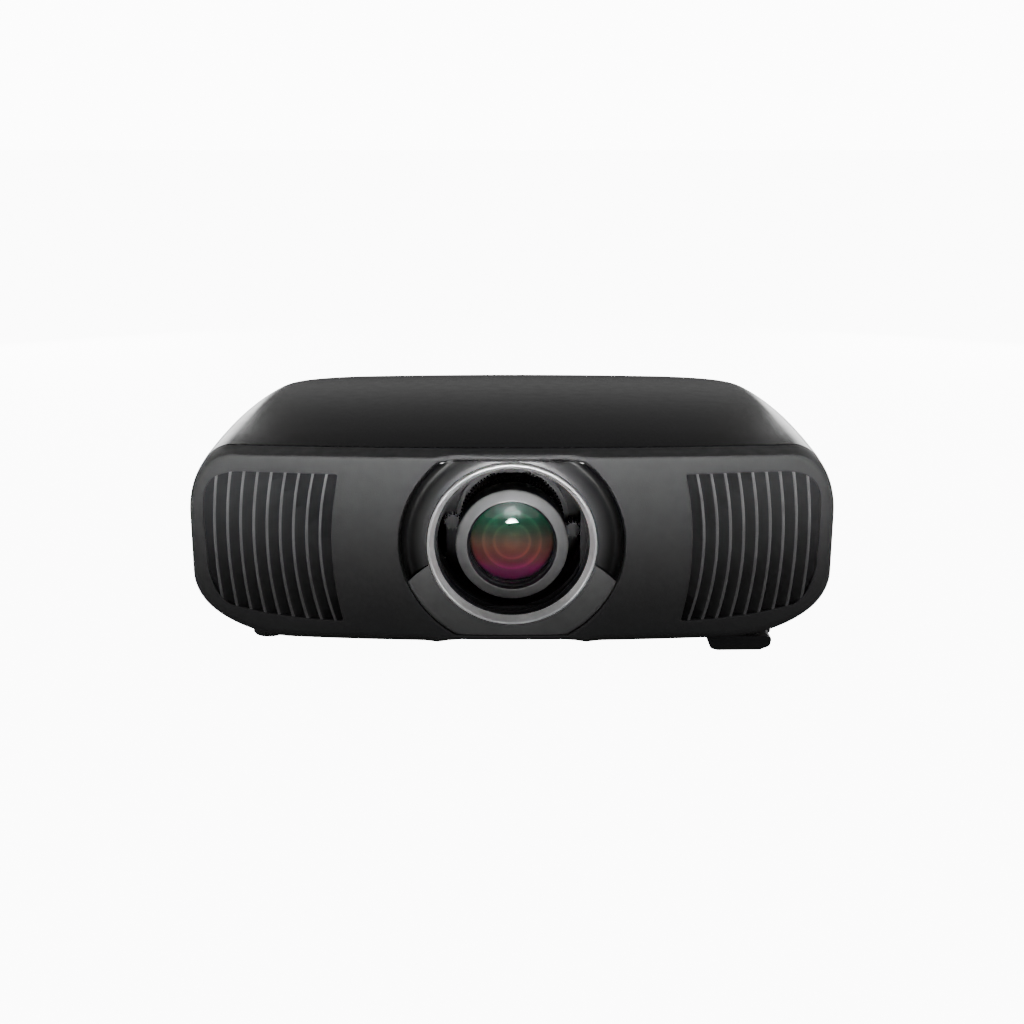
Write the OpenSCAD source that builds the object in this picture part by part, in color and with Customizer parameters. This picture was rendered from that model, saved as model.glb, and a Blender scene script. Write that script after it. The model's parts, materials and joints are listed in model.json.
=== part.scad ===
// Home-cinema projector: case, motorised lens, light engine, fans and filter.
// Millimetres. X runs to the right seen from the front, Y to the rear and Z up.
// The origin is on the floor, under the middle of the case.

/* [Case] */
// Width of the case
case_w = 520; // [516:1:530]
// Depth of the case
case_d = 447; // [445:1:450]
// Height of the highest point of the top above the floor
case_h = 193; // [191:1:196]
// Height of the underside above the floor
foot_h = 24; // [23:1:25]
// Wall thickness of the case shells
wall = 2.5; // [2:0.1:3]
// Angle by which the front leans, its lower edge set back
face_lean = 4.6; // [4:0.1:5]
// How far the middle of the front stands ahead of its corners
face_bow = 18; // [16:1:20]
// Depth of the front panel from its face to its seam
panel_depth = 24; // [22:1:26]

/* [Lens port] */
// Height of the middle of the lens port
port_z = 108; // [107:1:109]
// Radius of the dish around the lens
port_r = 90; // [89:0.5:91]
// Outer radius of the bright ring
ring_r = 67.5; // [67:0.1:68]
// Radius of the opening through the bright ring
ring_bore_r = 62; // [61:0.5:63]
// Travel of the shutter door
shutter_travel = 115.5; // [110:0.5:115.5]

/* [Lens] */
// Height of the lens axis at rest
lens_z = 101.3; // [100:0.1:103]
// Radius of the lens barrel at its front
barrel_r = 45.7; // [45:0.1:46]
// Radius of the front glass
glass_r = 32; // [30:0.5:33]
// Pitch radius of the zoom and focus ring gears
ring_gear_r = 44; // [44:1:44]

/* [Grilles] */
// Number of upright fins in each grille
fin_count = 9; // [7:1:9]
// Distance between fins
fin_pitch = 10.9; // [10:0.1:11]
// Thickness of a fin
fin_t = 1.8; // [1.2:0.1:2.5]

/* [Controls] */
// Travel of a button
button_travel = 0.8; // [0.5:0.1:0.9]
// Radius of a round button
button_r = 5; // [4:0.1:5.5]

/* [Fans] */
// Side of a fan frame
fan_w = 92; // [90:1:94]
// Number of fan blades
blade_count = 7; // [5:1:9]

/* [Mounting] */
// Spacing of the ceiling-mount holes across the case
mount_x = 200; // [180:5:220]
// Spacing of the ceiling-mount holes along the case
mount_y = 160; // [150:5:170]
// Radius of a ceiling-mount hole
mount_hole_r = 2; // [2:0.1:2.5]

/* [Hidden] */

half_w = case_w / 2;
half_d = case_d / 2;
// Clearance between separate pieces, and running clearance of a shaft
gap = 0.3;
run = 0.05;
// The case shells meet at this height
split_z = 100;
// Highest point of the top along Y, and how far it falls to front and rear
crest_y = -40;
top_fall_front = 12.1;
top_fall_rear = 18.8;
top_crown = 4.3;
top_edge_r = 8;
// Shoulder and lower corner of the cross-section, as half-ellipses
shoulder_x = 34;
shoulder_z = 52;
belly_x = 50;
belly_z = 30;
// Corners in plan
front_corner_start = 40.5;
front_corner_x = 36;
front_corner_y = 40;
rear_corner_x = 86;
rear_corner_y = 119;
side_taper = 15;
corner_steps = 6;
// Height of the front edge of the top, which the lean is measured from
face_top_z = case_h - top_fall_front;
lean_slope = tan(face_lean);
// Curvature of the front in plan: setback = bow_k * x * x
bow_k = face_bow / pow(half_w - front_corner_x, 2);
port_y = -half_d + (face_top_z - port_z) * lean_slope;
shutter_y = port_y + 16.6;
shutter_yaw = 3.5;
shutter_w = 122;
shutter_x = 54.9;
gear_m = 1;
tooth_w = 1.0;
focus_y = -136;
zoom_y = -110;
barrel_front_y = -193;
barrel_tube_r = 38;
motor_x = 51;
carriage_y = -93;
rod_x = 92;
lift_rod_y = -88.5;
side_rod_y = -99.5;
side_plate_y = -105.5;
screw_x = -75;
rod_r = 3;
fan_x = 188;
fan_z = 100;
fan_y = -176;
panel_x = 246;
engine_z = 108;
rear_y = 220.8;

// ---------------------------------------------------------------- shapes

// How far an ellipse of half-axis "across" has fallen at fraction t
function fall(across, t) = across * (1 - sqrt(max(0, 1 - min(1, t) * min(1, t))));

// Half width of the case at y
function side_half(y) =
  half_w
  - fall(front_corner_x, max(0, (-half_d + front_corner_start - y) / front_corner_y))
  - side_taper * max(0, y + 165) / (half_d + 165)
  - fall(rear_corner_x, max(0, (y - half_d + rear_corner_y) / rear_corner_y));

// Height of the top along the middle of the case at y
function top_line(y) =
  case_h
  - (y < crest_y
     ? top_fall_front * pow((crest_y - y) / (half_d - 42.5), 2)
     : top_fall_rear * pow((y - crest_y) / (half_d - crest_y), 2))
  - fall(top_edge_r, max(0, (y - half_d + top_edge_r) / top_edge_r));

// From 0 behind the middle to 1 at the front, where the lower corners are rounder
function belly_front(y) =
  let (f = min(1, max(0, (-40 - y) / 120)))
  f * f * (3 - 2 * f);

// Cross-section of the case at y, set in by t, as [x, z] points
function section(y, t) =
  let (
    a = side_half(y) - t,
    rx = shoulder_x - t,
    rz = shoulder_z - t,
    fullness = belly_front(y),
    bx = belly_x + 30 * fullness - t,
    bz = belly_z + 24 * fullness - t,
    flat = a - rx,
    top = top_line(y) - t,
    edge = top - top_crown * pow(flat / half_w, 2),
    base = foot_h + t,
    step = 90 / corner_steps
  )
  concat(
    [for (i = [0:corner_steps])
      [a - bx + bx * sin(i * step), base + bz - bz * cos(i * step)]],
    [for (i = [0:corner_steps])
      [flat + rx * cos(i * step), edge - rz + rz * sin(i * step)]],
    [for (i = [2:-1:-2])
      [flat * i / 3, top - top_crown * pow(flat * i / 3 / half_w, 2)]],
    [for (i = [corner_steps:-1:0])
      [-flat - rx * cos(i * step), edge - rz + rz * sin(i * step)]],
    [for (i = [corner_steps:-1:0])
      [-a + bx - bx * sin(i * step), base + bz - bz * cos(i * step)]]
  );

// Solid through a row of closed sections, each a list of [x, z] at its own y
module loft(ys, t) {
  rings = [for (y = ys) [for (p = section(y, t)) [p[0], y, p[1]]]];
  n = len(rings[0]);
  last = (len(ys) - 1) * n;
  polyhedron(
    points = [for (ring = rings) each ring],
    faces = concat(
      [[for (j = [n - 1:-1:0]) j]],
      [for (i = [0:len(ys) - 2]) for (j = [0:n - 1])
        let (a = i * n + j, b = i * n + (j + 1) % n)
        each [[a, b, b + n], [a, b + n, a + n]]],
      [[for (j = [0:n - 1]) last + j]]
    ),
    convexity = 6
  );
}

// Everything behind the front surface, set back by t
module behind_face(t) {
  multmatrix([[1, 0, 0, 0], [0, 1, -lean_slope, lean_slope * face_top_z],
              [0, 0, 1, 0]])
    linear_extrude(height = case_h + 10)
      polygon(concat(
        [for (i = [-14:14])
          let (x = i * half_w / 13)
          [x, -half_d + t + bow_k * x * x]],
        [[half_w * 14 / 13, half_d + 60], [-half_w * 14 / 13, half_d + 60]]
      ));
}

// The whole case as a solid, set in by t
module case_solid(t) {
  corner_ys = [for (i = [0:6]) -half_d + front_corner_start - front_corner_y * sin(i * 15)];
  tail_ys = [for (i = [1:5]) half_d - rear_corner_y * (1 - sin(i * 12))];
  ys = concat(
    [-half_d - 1],
    [for (i = [6:-1:0]) corner_ys[i]],
    [-150, -120, -80, -40, 0, 40, 80, half_d - rear_corner_y],
    tail_ys,
    [half_d - 4 - t, half_d - 1.5 - t, half_d - t]
  );
  intersection() {
    loft(ys, t);
    behind_face(t);
  }
}

module case_shell() {
  difference() {
    case_solid(0);
    case_solid(wall);
  }
}

// Places its children on the leaning plane of the port, +Z to the front
module on_port() {
  translate([0, port_y, port_z]) rotate([90 + face_lean, 0, 0]) children();
}

// Places its children on the plane of the shutter door
module on_shutter() {
  translate([0, shutter_y, port_z]) rotate([0, 0, shutter_yaw])
    rotate([90 + face_lean, 0, 0]) children();
}

// Places its children on an axis along Y, +Z to the front
module on_axis(x, y, z) {
  translate([x, y, z]) rotate([90, 0, 0]) children();
}

module tube(outer_r, inner_r, h) {
  difference() {
    cylinder(r = outer_r, h = h, $fn = 96);
    translate([0, 0, -1]) cylinder(r = inner_r, h = h + 2, $fn = 96);
  }
}

// Plain box from its lowest to its highest corner
module block(low, high) {
  translate(low) cube(high - low);
}

// Straight-sided gear outline with thin teeth, so that it never binds
module gear_outline(teeth) {
  pitch_r = teeth * gear_m / 2;
  root_r = pitch_r - 1.1 * gear_m;
  tip_r = pitch_r + 0.8 * gear_m;
  root_a = tooth_w * 0.65 / root_r * 180 / PI;
  tip_a = tooth_w * 0.35 / tip_r * 180 / PI;
  polygon([for (i = [0:teeth - 1])
    let (a = 360 * i / teeth)
    each [
      root_r * [cos(a - root_a), sin(a - root_a)],
      tip_r * [cos(a - tip_a), sin(a - tip_a)],
      tip_r * [cos(a + tip_a), sin(a + tip_a)],
      root_r * [cos(a + root_a), sin(a + root_a)]
    ]]);
}

// Rack outline along X with its pitch line on y = 0
module rack_outline(teeth, back) {
  pitch = PI * gear_m;
  polygon(concat(
    [[-pitch / 2, -back]],
    [for (i = [0:teeth - 1])
      each [
        [i * pitch - tooth_w * 0.65, -1.1 * gear_m],
        [i * pitch - tooth_w * 0.35, 0.8 * gear_m],
        [i * pitch + tooth_w * 0.35, 0.8 * gear_m],
        [i * pitch + tooth_w * 0.65, -1.1 * gear_m]
      ]],
    [[(teeth - 0.5) * pitch, -back]]
  ));
}

// ---------------------------------------------------------------- case

module ribs(count, x_step, y_low, y_high, z_low, z_high) {
  for (i = [0:count - 1]) {
    x = (i - (count - 1) / 2) * x_step;
    hull() {
      block([x - 0.9, y_low, z_low], [x + 0.9, y_low + 2, z_high]);
      block([x - 0.9, y_high - 2, z_low], [x + 0.9, y_high, z_high]);
    }
  }
}

module rear_opening() {
  block([-154, half_d - 12, 39.7], [154, half_d + 5, 150.3]);
}

module control_opening() {
  block([half_w - 22, 10, 104], [half_w + 5, 110, 136]);
}

module light_opening() {
  block([-14, 203, 165], [14, 211, case_h]);
}

module top_cover() {
  color("#17181a") union() {
    difference() {
      intersection() {
        case_shell();
        behind_face(panel_depth + 0.4);
        block([-half_w - 5, -half_d, split_z + 0.1],
              [half_w + 5, half_d + 5, case_h + 5]);
      }
      rear_opening();
      control_opening();
      light_opening();
    }
    intersection() {
      case_solid(wall - 0.5);
      ribs(8, 50, -60, 150, 184, case_h);
    }
  }
}

module bottom_case() {
  color("#202123") union() {
    difference() {
      intersection() {
        case_shell();
        behind_face(panel_depth + 0.4);
        block([-half_w - 5, -half_d, foot_h - 5],
              [half_w + 5, half_d + 5, split_z - 0.2]);
      }
      rear_opening();
      block([filter_low[0] + 3, -165, foot_h - 5],
            [filter_high[0] - 3, -95, foot_h + 10]);
      for (sx = [-1, 1]) {
        translate([sx * 212, -112, foot_h - 5])
          cylinder(r = 9.3, h = 15, $fn = 32);
        for (sy = [-1, 1])
          translate([sx * mount_x / 2, 30 + sy * mount_y / 2, foot_h - 5])
            cylinder(r = 7.3, h = 15, $fn = 32);
      }
    }
    intersection() {
      case_solid(wall - 0.5);
      ribs(8, 28, 125, 184, foot_h, foot_h + 9);
    }
  }
}

// Outline of the left grille seen from the front, grown by g
module grille_outline(g) {
  arc_r = 283;
  offset(r = g) offset(r = -12) offset(r = 12) offset(r = 6) offset(r = -6)
    polygon(concat(
      [for (i = [-6:6])
        [-144 + arc_r * (1 - cos(i * 2.2)), 103.5 + arc_r * sin(i * 2.2) * 0.96]],
      [[-225, 166], [-240, 160], [-248, 148], [-250, 130]],
      [[-248, 80], [-243, 64], [-232, 52.5], [-200, 46], [-165, 42.5]]
    ));
}

module grille_prism(g) {
  translate([0, -150, 0]) rotate([90, 0, 0])
    linear_extrude(height = 100) grille_outline(g);
}

// Tongue on the front panel's rear edge that slips under the top cover
module seam_clip(x) {
  y = -half_d + bow_k * x * x + panel_depth - 3;
  inner = -top_crown * pow(x / half_w, 2) - wall;
  hull()
    for (s = [-1, 1]) {
      translate([x + s * 6, y, top_line(y) + inner - 0.3])
        sphere(r = 0.9, $fn = 12);
      translate([x + s * 6, y + 9, top_line(y + 9) + inner - 1.7])
        sphere(r = 0.8, $fn = 12);
    }
}

module front_panel() {
  color("#3a3b3d") union() {
    difference() {
      intersection() {
        case_shell();
        difference() {
          behind_face(-1);
          behind_face(panel_depth);
        }
      }
      intersection() {
        on_port() translate([0, 0, -40]) cylinder(r = port_r + 0.1, h = 80, $fn = 96);
        block([-100, -half_d - 5, foot_h + 5], [100, -150, face_top_z - 4]);
      }
      grille_prism(0);
      mirror([1, 0, 0]) grille_prism(0);
    }
    for (i = [0:7]) seam_clip(-126 + i * 36);
  }
}

// One upright fin at distance x from the middle, square to the front
module fin(x) {
  turn = atan(2 * bow_k * x) + max(0, x - 215) * 1.1;
  translate([-x, -half_d + bow_k * x * x + 12, 0]) rotate([0, 0, -turn])
    hull() {
      block([-fin_t / 2, -26, foot_h], [fin_t / 2, 24, foot_h + 5]);
      block([-fin_t / 2, -26, face_top_z - 5], [fin_t / 2, 24, face_top_z]);
    }
}

module left_grille() {
  color("#2b2c2e") intersection() {
    difference() {
      case_solid(0.6);
      case_solid(8.6);
    }
    grille_prism(-gap);
    union() {
      for (i = [0:fin_count - 1]) fin(149 + i * fin_pitch);
      difference() {
        grille_prism(0.5);
        grille_prism(-gap - 2);
      }
    }
  }
}

module right_grille() {
  color("#2b2c2e") mirror([1, 0, 0]) left_grille();
}

// Keeps the part of the port between the panel's upper and lower edges
module port_slab() {
  intersection() {
    children();
    block([-100, -half_d - 5, foot_h + 5.3], [100, -150, face_top_z - 4.3]);
  }
}

module lens_dish() {
  color("#08080a") port_slab() on_port()
    rotate_extrude(angle = 220, start = -20, $fn = 128)
      polygon([
        [ring_r + gap, -2.2], [72, -3.0], [77, -4.8], [82, -7.2], [85, -7.8],
        [87.2, -6.6], [88.8, -4.6], [port_r - 0.2, -3.2],
        [port_r - 0.2, -9.6], [83, -9.6], [77, -6.8], [ring_r + gap, -4.2]
      ]);
}

module chin_trim() {
  color("#3d3e40") port_slab() on_port()
    rotate_extrude(angle = 139.4, start = 200.3, $fn = 128)
      polygon([
        [ring_r + gap, -1.0], [86, -2.0], [port_r - 0.2, -3.4],
        [port_r - 0.2, -5.6], [86, -4.4], [ring_r + gap, -3.4]
      ]);
}

module lens_ring() {
  color("#c9ccd0") on_port()
    rotate_extrude($fn = 128)
      polygon([
        [ring_bore_r, -7.5], [ring_r, -7.5], [ring_r, 0], [ring_r - 0.3, 0.3],
        [ring_r - 1.5, 0.3], [ring_bore_r, -6.8]
      ]);
}

// ---------------------------------------------------------------- shutter

shutter_rack_y = 54;
shutter_pinion_x = 58;
shutter_pinion_teeth = 12;
shroud_r = 60;

module shutter_door() {
  color("#1b1c1e") on_shutter() {
    translate([shutter_x, -60.5, -0.8])
      cube([shutter_w, 121, 1.6]);
    translate([shutter_pinion_x + PI / 2, shutter_rack_y, -5.8])
      linear_extrude(height = 5)
        rack_outline(37, 5);
  }
}

module shutter_frame() {
  left = -66;
  right = 181;
  color("#0c0c0e") on_shutter() difference() {
    union() {
      block([left, -66, 1.1], [right, 66, 2.6]);
      for (s = [-1, 1]) {
        block([left, min(s * 61, s * 66), -1.1],
              [right, max(s * 61, s * 66), 1.1]);
        block([left, min(s * 57, s * 66), -2.6],
              [right, max(s * 57, s * 66), -1.1]);
      }
    }
    translate([0, 0, 0.5]) cylinder(r = shroud_r, h = 3, $fn = 96);
  }
  color("#0c0c0e") on_shutter() {
    translate([0, 0, -34]) tube(shroud_r + 1.5, shroud_r, 26);
    translate([0, 0, -11]) difference() {
      tube(68, shroud_r, 3);
      translate([-70, 45, -1]) cube([140, 30, 5]);
    }
    for (s = [-1, 1])
      block([s * 22 - 3, -66, -9], [s * 22 + 3, -62, -2.6]);
  }
}

module shutter_motor() {
  color("#9a9da1") on_shutter()
    translate([shutter_pinion_x, shutter_rack_y + shutter_pinion_teeth / 2, -27])
      cylinder(r = 7.5, h = 20.5, $fn = 64);
}

module shutter_pinion() {
  color("#d8d4c4") on_shutter()
    translate([shutter_pinion_x, shutter_rack_y + shutter_pinion_teeth / 2, -5.8]) {
      linear_extrude(height = 2.6)
        rotate([0, 0, -90]) gear_outline(shutter_pinion_teeth);
      translate([0, 0, -0.6]) cylinder(r = 1, h = 0.6, $fn = 32);
    }
}

// ---------------------------------------------------------------- lens shift

module lens_mount() {
  color("#7c8086") difference() {
    union() {
      block([-104, -80, 34], [104, -72, 186]);
      block([-104, -80, foot_h + 3], [104, -60, 34]);
      for (s = [-1, 1]) {
        block([s * rod_x - 8, -96, 179], [s * rod_x + 8, -79, 186]);
        block([s * rod_x - 8, -96, foot_h + 3], [s * rod_x + 8, -79, 34]);
        translate([s * rod_x, lift_rod_y, 30]) cylinder(r = rod_r, h = 153, $fn = 48);
      }
    }
    block([-68, -82, lens_z - 38], [68, -70, lens_z + 50]);
  }
}

lift_rod_z = 50;

module lift_carriage() {
  color("#8d9197") difference() {
    union() {
      difference() {
        block([-88, carriage_y, lens_z - 59], [88, carriage_y + 9, lens_z + 59]);
        block([-67, carriage_y - 1, lens_z - 34], [67, carriage_y + 10, lens_z + 34]);
      }
      for (sx = [-1, 1]) {
        for (sz = [-1, 1]) {
          translate([sx * rod_x, lift_rod_y, lens_z + sz * 52 - 6])
            cylinder(r = 6, h = 12, $fn = 48);
          block([sx * 78 - 4, side_rod_y - 5, lens_z + sz * lift_rod_z - 6],
                [sx * 78 + 4, carriage_y + 1, lens_z + sz * lift_rod_z + 6]);
        }
      }
      for (sz = [-1, 1])
        translate([-82, side_rod_y, lens_z + sz * lift_rod_z]) rotate([0, 90, 0])
          cylinder(r = rod_r, h = 164, $fn = 48);
      translate([screw_x, lift_rod_y, lens_z - 10]) cylinder(r = 6, h = 20, $fn = 48);
      block([-83.5, side_rod_y - 6, lens_z - 43], [-81, carriage_y + 1, lens_z - 31]);
    }
    for (sx = [-1, 1])
      translate([sx * rod_x, lift_rod_y, lens_z - 70])
        cylinder(r = rod_r + run, h = 140, $fn = 48);
    translate([screw_x, lift_rod_y, lens_z - 70])
      cylinder(r = rod_r + run, h = 140, $fn = 48);
    translate([-90, side_rod_y, lens_z - 37]) rotate([0, 90, 0])
      cylinder(r = 2.5 + gap, h = 12, $fn = 48);
  }
}

module side_carriage() {
  color("#a3a6ab") difference() {
    union() {
      block([-57, side_plate_y, lens_z - 56], [57, side_plate_y + 2.5, lens_z + 56]);
      for (sx = [-1, 1], sz = [-1, 1])
        translate([sx * 42 - 8, side_rod_y, lens_z + sz * lift_rod_z])
          rotate([0, 90, 0]) cylinder(r = 6, h = 16, $fn = 48);
      translate([-50, side_rod_y, lens_z - 37]) rotate([0, 90, 0])
        cylinder(r = 6, h = 20, $fn = 48);
    }
    on_axis(0, -85, lens_z) cylinder(r = 31, h = 30, $fn = 96);
    for (sx = [-1, 1])
      on_axis(sx * motor_x, -85, lens_z) cylinder(r = 1.6, h = 30, $fn = 32);
    for (sz = [-1, 1])
      translate([-60, side_rod_y, lens_z + sz * lift_rod_z]) rotate([0, 90, 0])
        cylinder(r = rod_r + run, h = 120, $fn = 48);
    translate([-60, side_rod_y, lens_z - 37]) rotate([0, 90, 0])
      cylinder(r = 2.5 + run, h = 40, $fn = 48);
  }
}

module lift_screw() {
  color("#b9bcc0") translate([screw_x, lift_rod_y, 38.8])
    cylinder(r = rod_r, h = 104, $fn = 48);
}

module lift_motor() {
  color("#55585c") translate([screw_x, lift_rod_y, foot_h + 3.3])
    cylinder(r = 8, h = 11.3, $fn = 64);
}

module side_screw() {
  color("#b9bcc0") translate([-83.8, side_rod_y, lens_z - 37]) rotate([0, 90, 0])
    cylinder(r = 2.5, h = 66, $fn = 48);
}

module side_motor() {
  color("#55585c") translate([-106, side_rod_y, lens_z - 37]) rotate([0, 90, 0])
    cylinder(r = 6.5, h = 22, $fn = 64);
}

// ---------------------------------------------------------------- lens

module lens_barrel() {
  color("#2a2b2d") difference() {
    union() {
      on_axis(0, -160, lens_z)
        cylinder(r = barrel_r, h = -160 - barrel_front_y, $fn = 128);
      on_axis(0, side_plate_y, lens_z) cylinder(r = barrel_tube_r, h = 56, $fn = 128);
      on_axis(0, side_plate_y, lens_z) cylinder(r = 49, h = 3.5, $fn = 128);
      on_axis(0, -56, lens_z) cylinder(r = 30, h = 50, $fn = 96);
    }
    on_axis(0, barrel_front_y + 6, lens_z)
      cylinder(r1 = glass_r + 4, r2 = barrel_r - 1.2, h = 6.01, $fn = 128);
    on_axis(0, barrel_front_y + 22, lens_z)
      cylinder(r = glass_r + 0.1, h = 17, $fn = 128);
    on_axis(0, -110, lens_z) cylinder(r = 33, h = 61.5, $fn = 128);
    on_axis(0, -50, lens_z) cylinder(r = 26, h = 70, $fn = 96);
  }
}

// Round glass with both faces domed, on an axis along Y
module lens_glass(y, r, edge, dome) {
  ball_r = (r * r + dome * dome) / (2 * dome);
  on_axis(0, y, lens_z) rotate_extrude($fn = 96)
    polygon(concat(
      [[0, -edge / 2 - dome * 0.3], [r, -edge / 2]],
      [for (i = [0:8])
        let (a = asin(r / ball_r) * (1 - i / 8))
        [ball_r * sin(a), edge / 2 + ball_r * cos(a) - ball_r + dome]]
    ));
}

module front_lens() {
  color("#5f8f8f") {
    lens_glass(-178, glass_r, 6, 5);
    on_axis(0, -60, lens_z) cylinder(r = 25.9, h = 5, $fn = 96);
  }
}

module lens_ring_gear(y, grip_h) {
  on_axis(0, y, lens_z) difference() {
    union() {
      linear_extrude(height = 7) gear_outline(2 * ring_gear_r);
      translate([0, 0, 7]) cylinder(r = 43, h = grip_h, $fn = 96);
    }
    translate([0, 0, -1])
      cylinder(r = barrel_tube_r + run, h = grip_h + 10, $fn = 128);
  }
}

module focus_ring() {
  color("#37383a") lens_ring_gear(focus_y, 15);
}

module zoom_ring() {
  color("#37383a") lens_ring_gear(zoom_y, 15);
}

module zoom_group() {
  color("#6d9aa5") difference() {
    on_axis(0, -133, lens_z) cylinder(r = 33 - run, h = 14, $fn = 128);
    on_axis(0, -144, lens_z) cylinder(r = 27, h = 6, $fn = 96);
    on_axis(0, -130, lens_z) cylinder(r = 27, h = 6, $fn = 96);
  }
}

module lens_motors() {
  color("#6a6d72")
    for (sx = [-1, 1])
      on_axis(sx * motor_x, -76, lens_z) cylinder(r = 6, h = 26.7, $fn = 64);
}

// Pinion on a long shaft that runs back to its motor
module lens_pinion(sx, y) {
  pinion_teeth = 14;
  on_axis(sx * (ring_gear_r + pinion_teeth / 2), y, lens_z) {
    linear_extrude(height = 6)
      rotate([0, 0, 180 / pinion_teeth]) gear_outline(pinion_teeth);
    mirror([0, 0, 1]) cylinder(r = 1, h = side_plate_y + 2.6 - y, $fn = 32);
  }
}

module focus_pinion() {
  color("#d8d4c4") lens_pinion(1, focus_y - 0.5);
}

module zoom_pinion() {
  color("#d8d4c4") lens_pinion(-1, zoom_y - 0.5);
}

// ---------------------------------------------------------------- light engine

module engine_base() {
  color("#5d6166") difference() {
    union() {
      block([-112, -42, 40], [112, 118, 46]);
      for (sx = [-1, 1], sy = [-1, 1])
        translate([sx * 70, 38 + sy * 60, foot_h + wall + 0.2])
          cylinder(r = 7, h = 40 - foot_h - wall - 0.2, $fn = 48);
      block([-22, -30, 46], [22, 4, engine_z - 12.1]);
      block([-112, 112, 46], [112, 118, 70]);
      for (s = [-1, 1]) block([s * 109 - 3, -42, 46], [s * 109 + 3, 118, 70]);
    }
    block([-60, 20, 39], [60, 90, 47]);
  }
}

module laser_module() {
  color("#b0894a") {
    block([-104, 60, 80], [-62, 104, 134]);
    for (i = [0:2])
      translate([-62, 71 + i * 11, engine_z]) rotate([0, 90, 0])
        cylinder(r = 3.5, h = 6, $fn = 32);
  }
}

// Bent heat pipe from the fins back and across to the laser module
module heat_pipe(x, z, y_end) {
  r = 3;
  translate([x, -29.8, z]) rotate([-90, 0, 0])
    cylinder(r = r, h = y_end + 29.8, $fn = 32);
  translate([x, y_end, z]) sphere(r = r, $fn = 32);
  translate([x, y_end, z]) rotate([0, 90, 0])
    cylinder(r = r, h = -112 - x, $fn = 32);
}

// Finned block, its heat pipes and the cold plate on the laser module
module heat_sink() {
  color("#c2c5c9") {
    block([-226, -128, 62], [-128, -30, 68]);
    for (i = [0:15])
      block([-226 + i * 6.4, -128, 68], [-224.6 + i * 6.4, -30, 142]);
    block([-112, 60, 80], [-104.1, 104, 134]);
  }
  color("#b87333")
    for (i = [0:2])
      heat_pipe(-141.2 - i * 25.6, 88 + i * 18, 70 + i * 12);
}

module phosphor_wheel() {
  color("#d9c545") translate([-36, 82, engine_z]) rotate([0, 90, 0]) {
    cylinder(r = 28, h = 1.2, $fn = 96);
    translate([0, 0, 1.2]) cylinder(r = 9, h = 9, $fn = 64);
    translate([0, 0, 10.2]) cylinder(r = 2, h = 6, $fn = 32);
  }
}

module condenser_lenses() {
  color("#a9c4cc")
    for (p = [[60, 82], [60, 40], [-60, 20]])
      translate([p[0], p[1], engine_z]) rotate([90, 0, 0])
        rotate_extrude($fn = 64)
          polygon([[0, -4], [11.5, -1.5], [11.5, 1.5], [8, 3.4], [0, 5]]);
}

module color_mirrors() {
  color("#8fb3d9")
    for (p = [[84, 92, 45], [84, -8, -45], [-84, -8, 45], [0, 60, 45]])
      translate([p[0], p[1], engine_z]) rotate([0, 0, p[2]])
        cube([34, 1.2, 28], center = true);
}

module prism() {
  color("#bcd2da") block([-12, -28, engine_z - 12], [12, -4, engine_z + 12]);
}

module lcd_panels() {
  color("#4b3a2a") {
    for (s = [-1, 1])
      translate([s * 15, -16, engine_z]) cube([2, 24, 18], center = true);
    translate([0, -1, engine_z]) cube([24, 2, 18], center = true);
  }
}

// Thin glass plate that rocks to shift the picture by half a pixel
module pixel_shift_plate() {
  color("#cfe0e4") {
    translate([0, -36, engine_z]) cube([26, 1.2, 20], center = true);
    translate([0, -36, engine_z - 13.4]) cylinder(r = 1, h = 26.8, $fn = 32);
  }
}

// ---------------------------------------------------------------- boards

module main_board() {
  color("#1f5a3a") block([-140, 192, 44], [140, 193.6, 148]);
  color("#26282b") {
    for (i = [0:3]) block([-110 + i * 52, 189, 96], [-84 + i * 52, 192, 122]);
    for (i = [0:7]) block([-120 + i * 30, 186, 60], [-112 + i * 30, 192, 74]);
  }
}

module power_supply() {
  color("#6f5a2a") block([128, -60, 44], [226, 140, 46]);
  color("#2a2c30") {
    block([136, -50, 46], [172, -8, 80]);
    block([136, 92, 46], [176, 132, 76]);
    for (i = [0:3])
      translate([200, -40 + i * 26, 46]) cylinder(r = 10, h = 34, $fn = 64);
    for (i = [0:4]) block([136, 2 + i * 17, 46], [166, 12 + i * 17, 62]);
  }
}

// ---------------------------------------------------------------- fans

module fan_frame(x) {
  w = fan_w / 2;
  color("#1c1d1f") {
    difference() {
      translate([x - w, fan_y, fan_z - w]) cube([fan_w, 24, fan_w]);
      on_axis(x, fan_y + 25, fan_z) cylinder(r = w - 2, h = 26, $fn = 96);
      for (sx = [-1, 1], sz = [-1, 1])
        on_axis(x + sx * (w - 5), fan_y + 25, fan_z + sz * (w - 5))
          cylinder(r = 2.2, h = 26, $fn = 32);
    }
    difference() {
      union() {
        on_axis(x, fan_y + 24, fan_z) cylinder(r = 17, h = 3.8, $fn = 64);
        for (a = [0, 90, 180, 270])
          translate([x, fan_y + 22, fan_z]) rotate([0, a, 0])
            translate([15, -1.5, -2]) cube([w - 16, 3, 4]);
      }
      on_axis(x, fan_y + 25, fan_z) cylinder(r = 2 + run, h = 6, $fn = 48);
    }
  }
}

module fan_rotor(x) {
  w = fan_w / 2;
  color("#101113") {
    on_axis(x, fan_y + 19, fan_z) cylinder(r = 17, h = 17, $fn = 64);
    on_axis(x, fan_y + 24, fan_z) cylinder(r = 2, h = 5, $fn = 48);
    intersection() {
      on_axis(x, fan_y + 19, fan_z) cylinder(r = w - 3.5, h = 17, $fn = 96);
      for (i = [0:blade_count - 1])
        translate([x, fan_y + 10.5, fan_z]) rotate([0, i * 360 / blade_count, 0])
          rotate([38, 0, 0]) translate([16, -0.9, -15])
            cube([w, 1.8, 30]);
    }
  }
}

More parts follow.
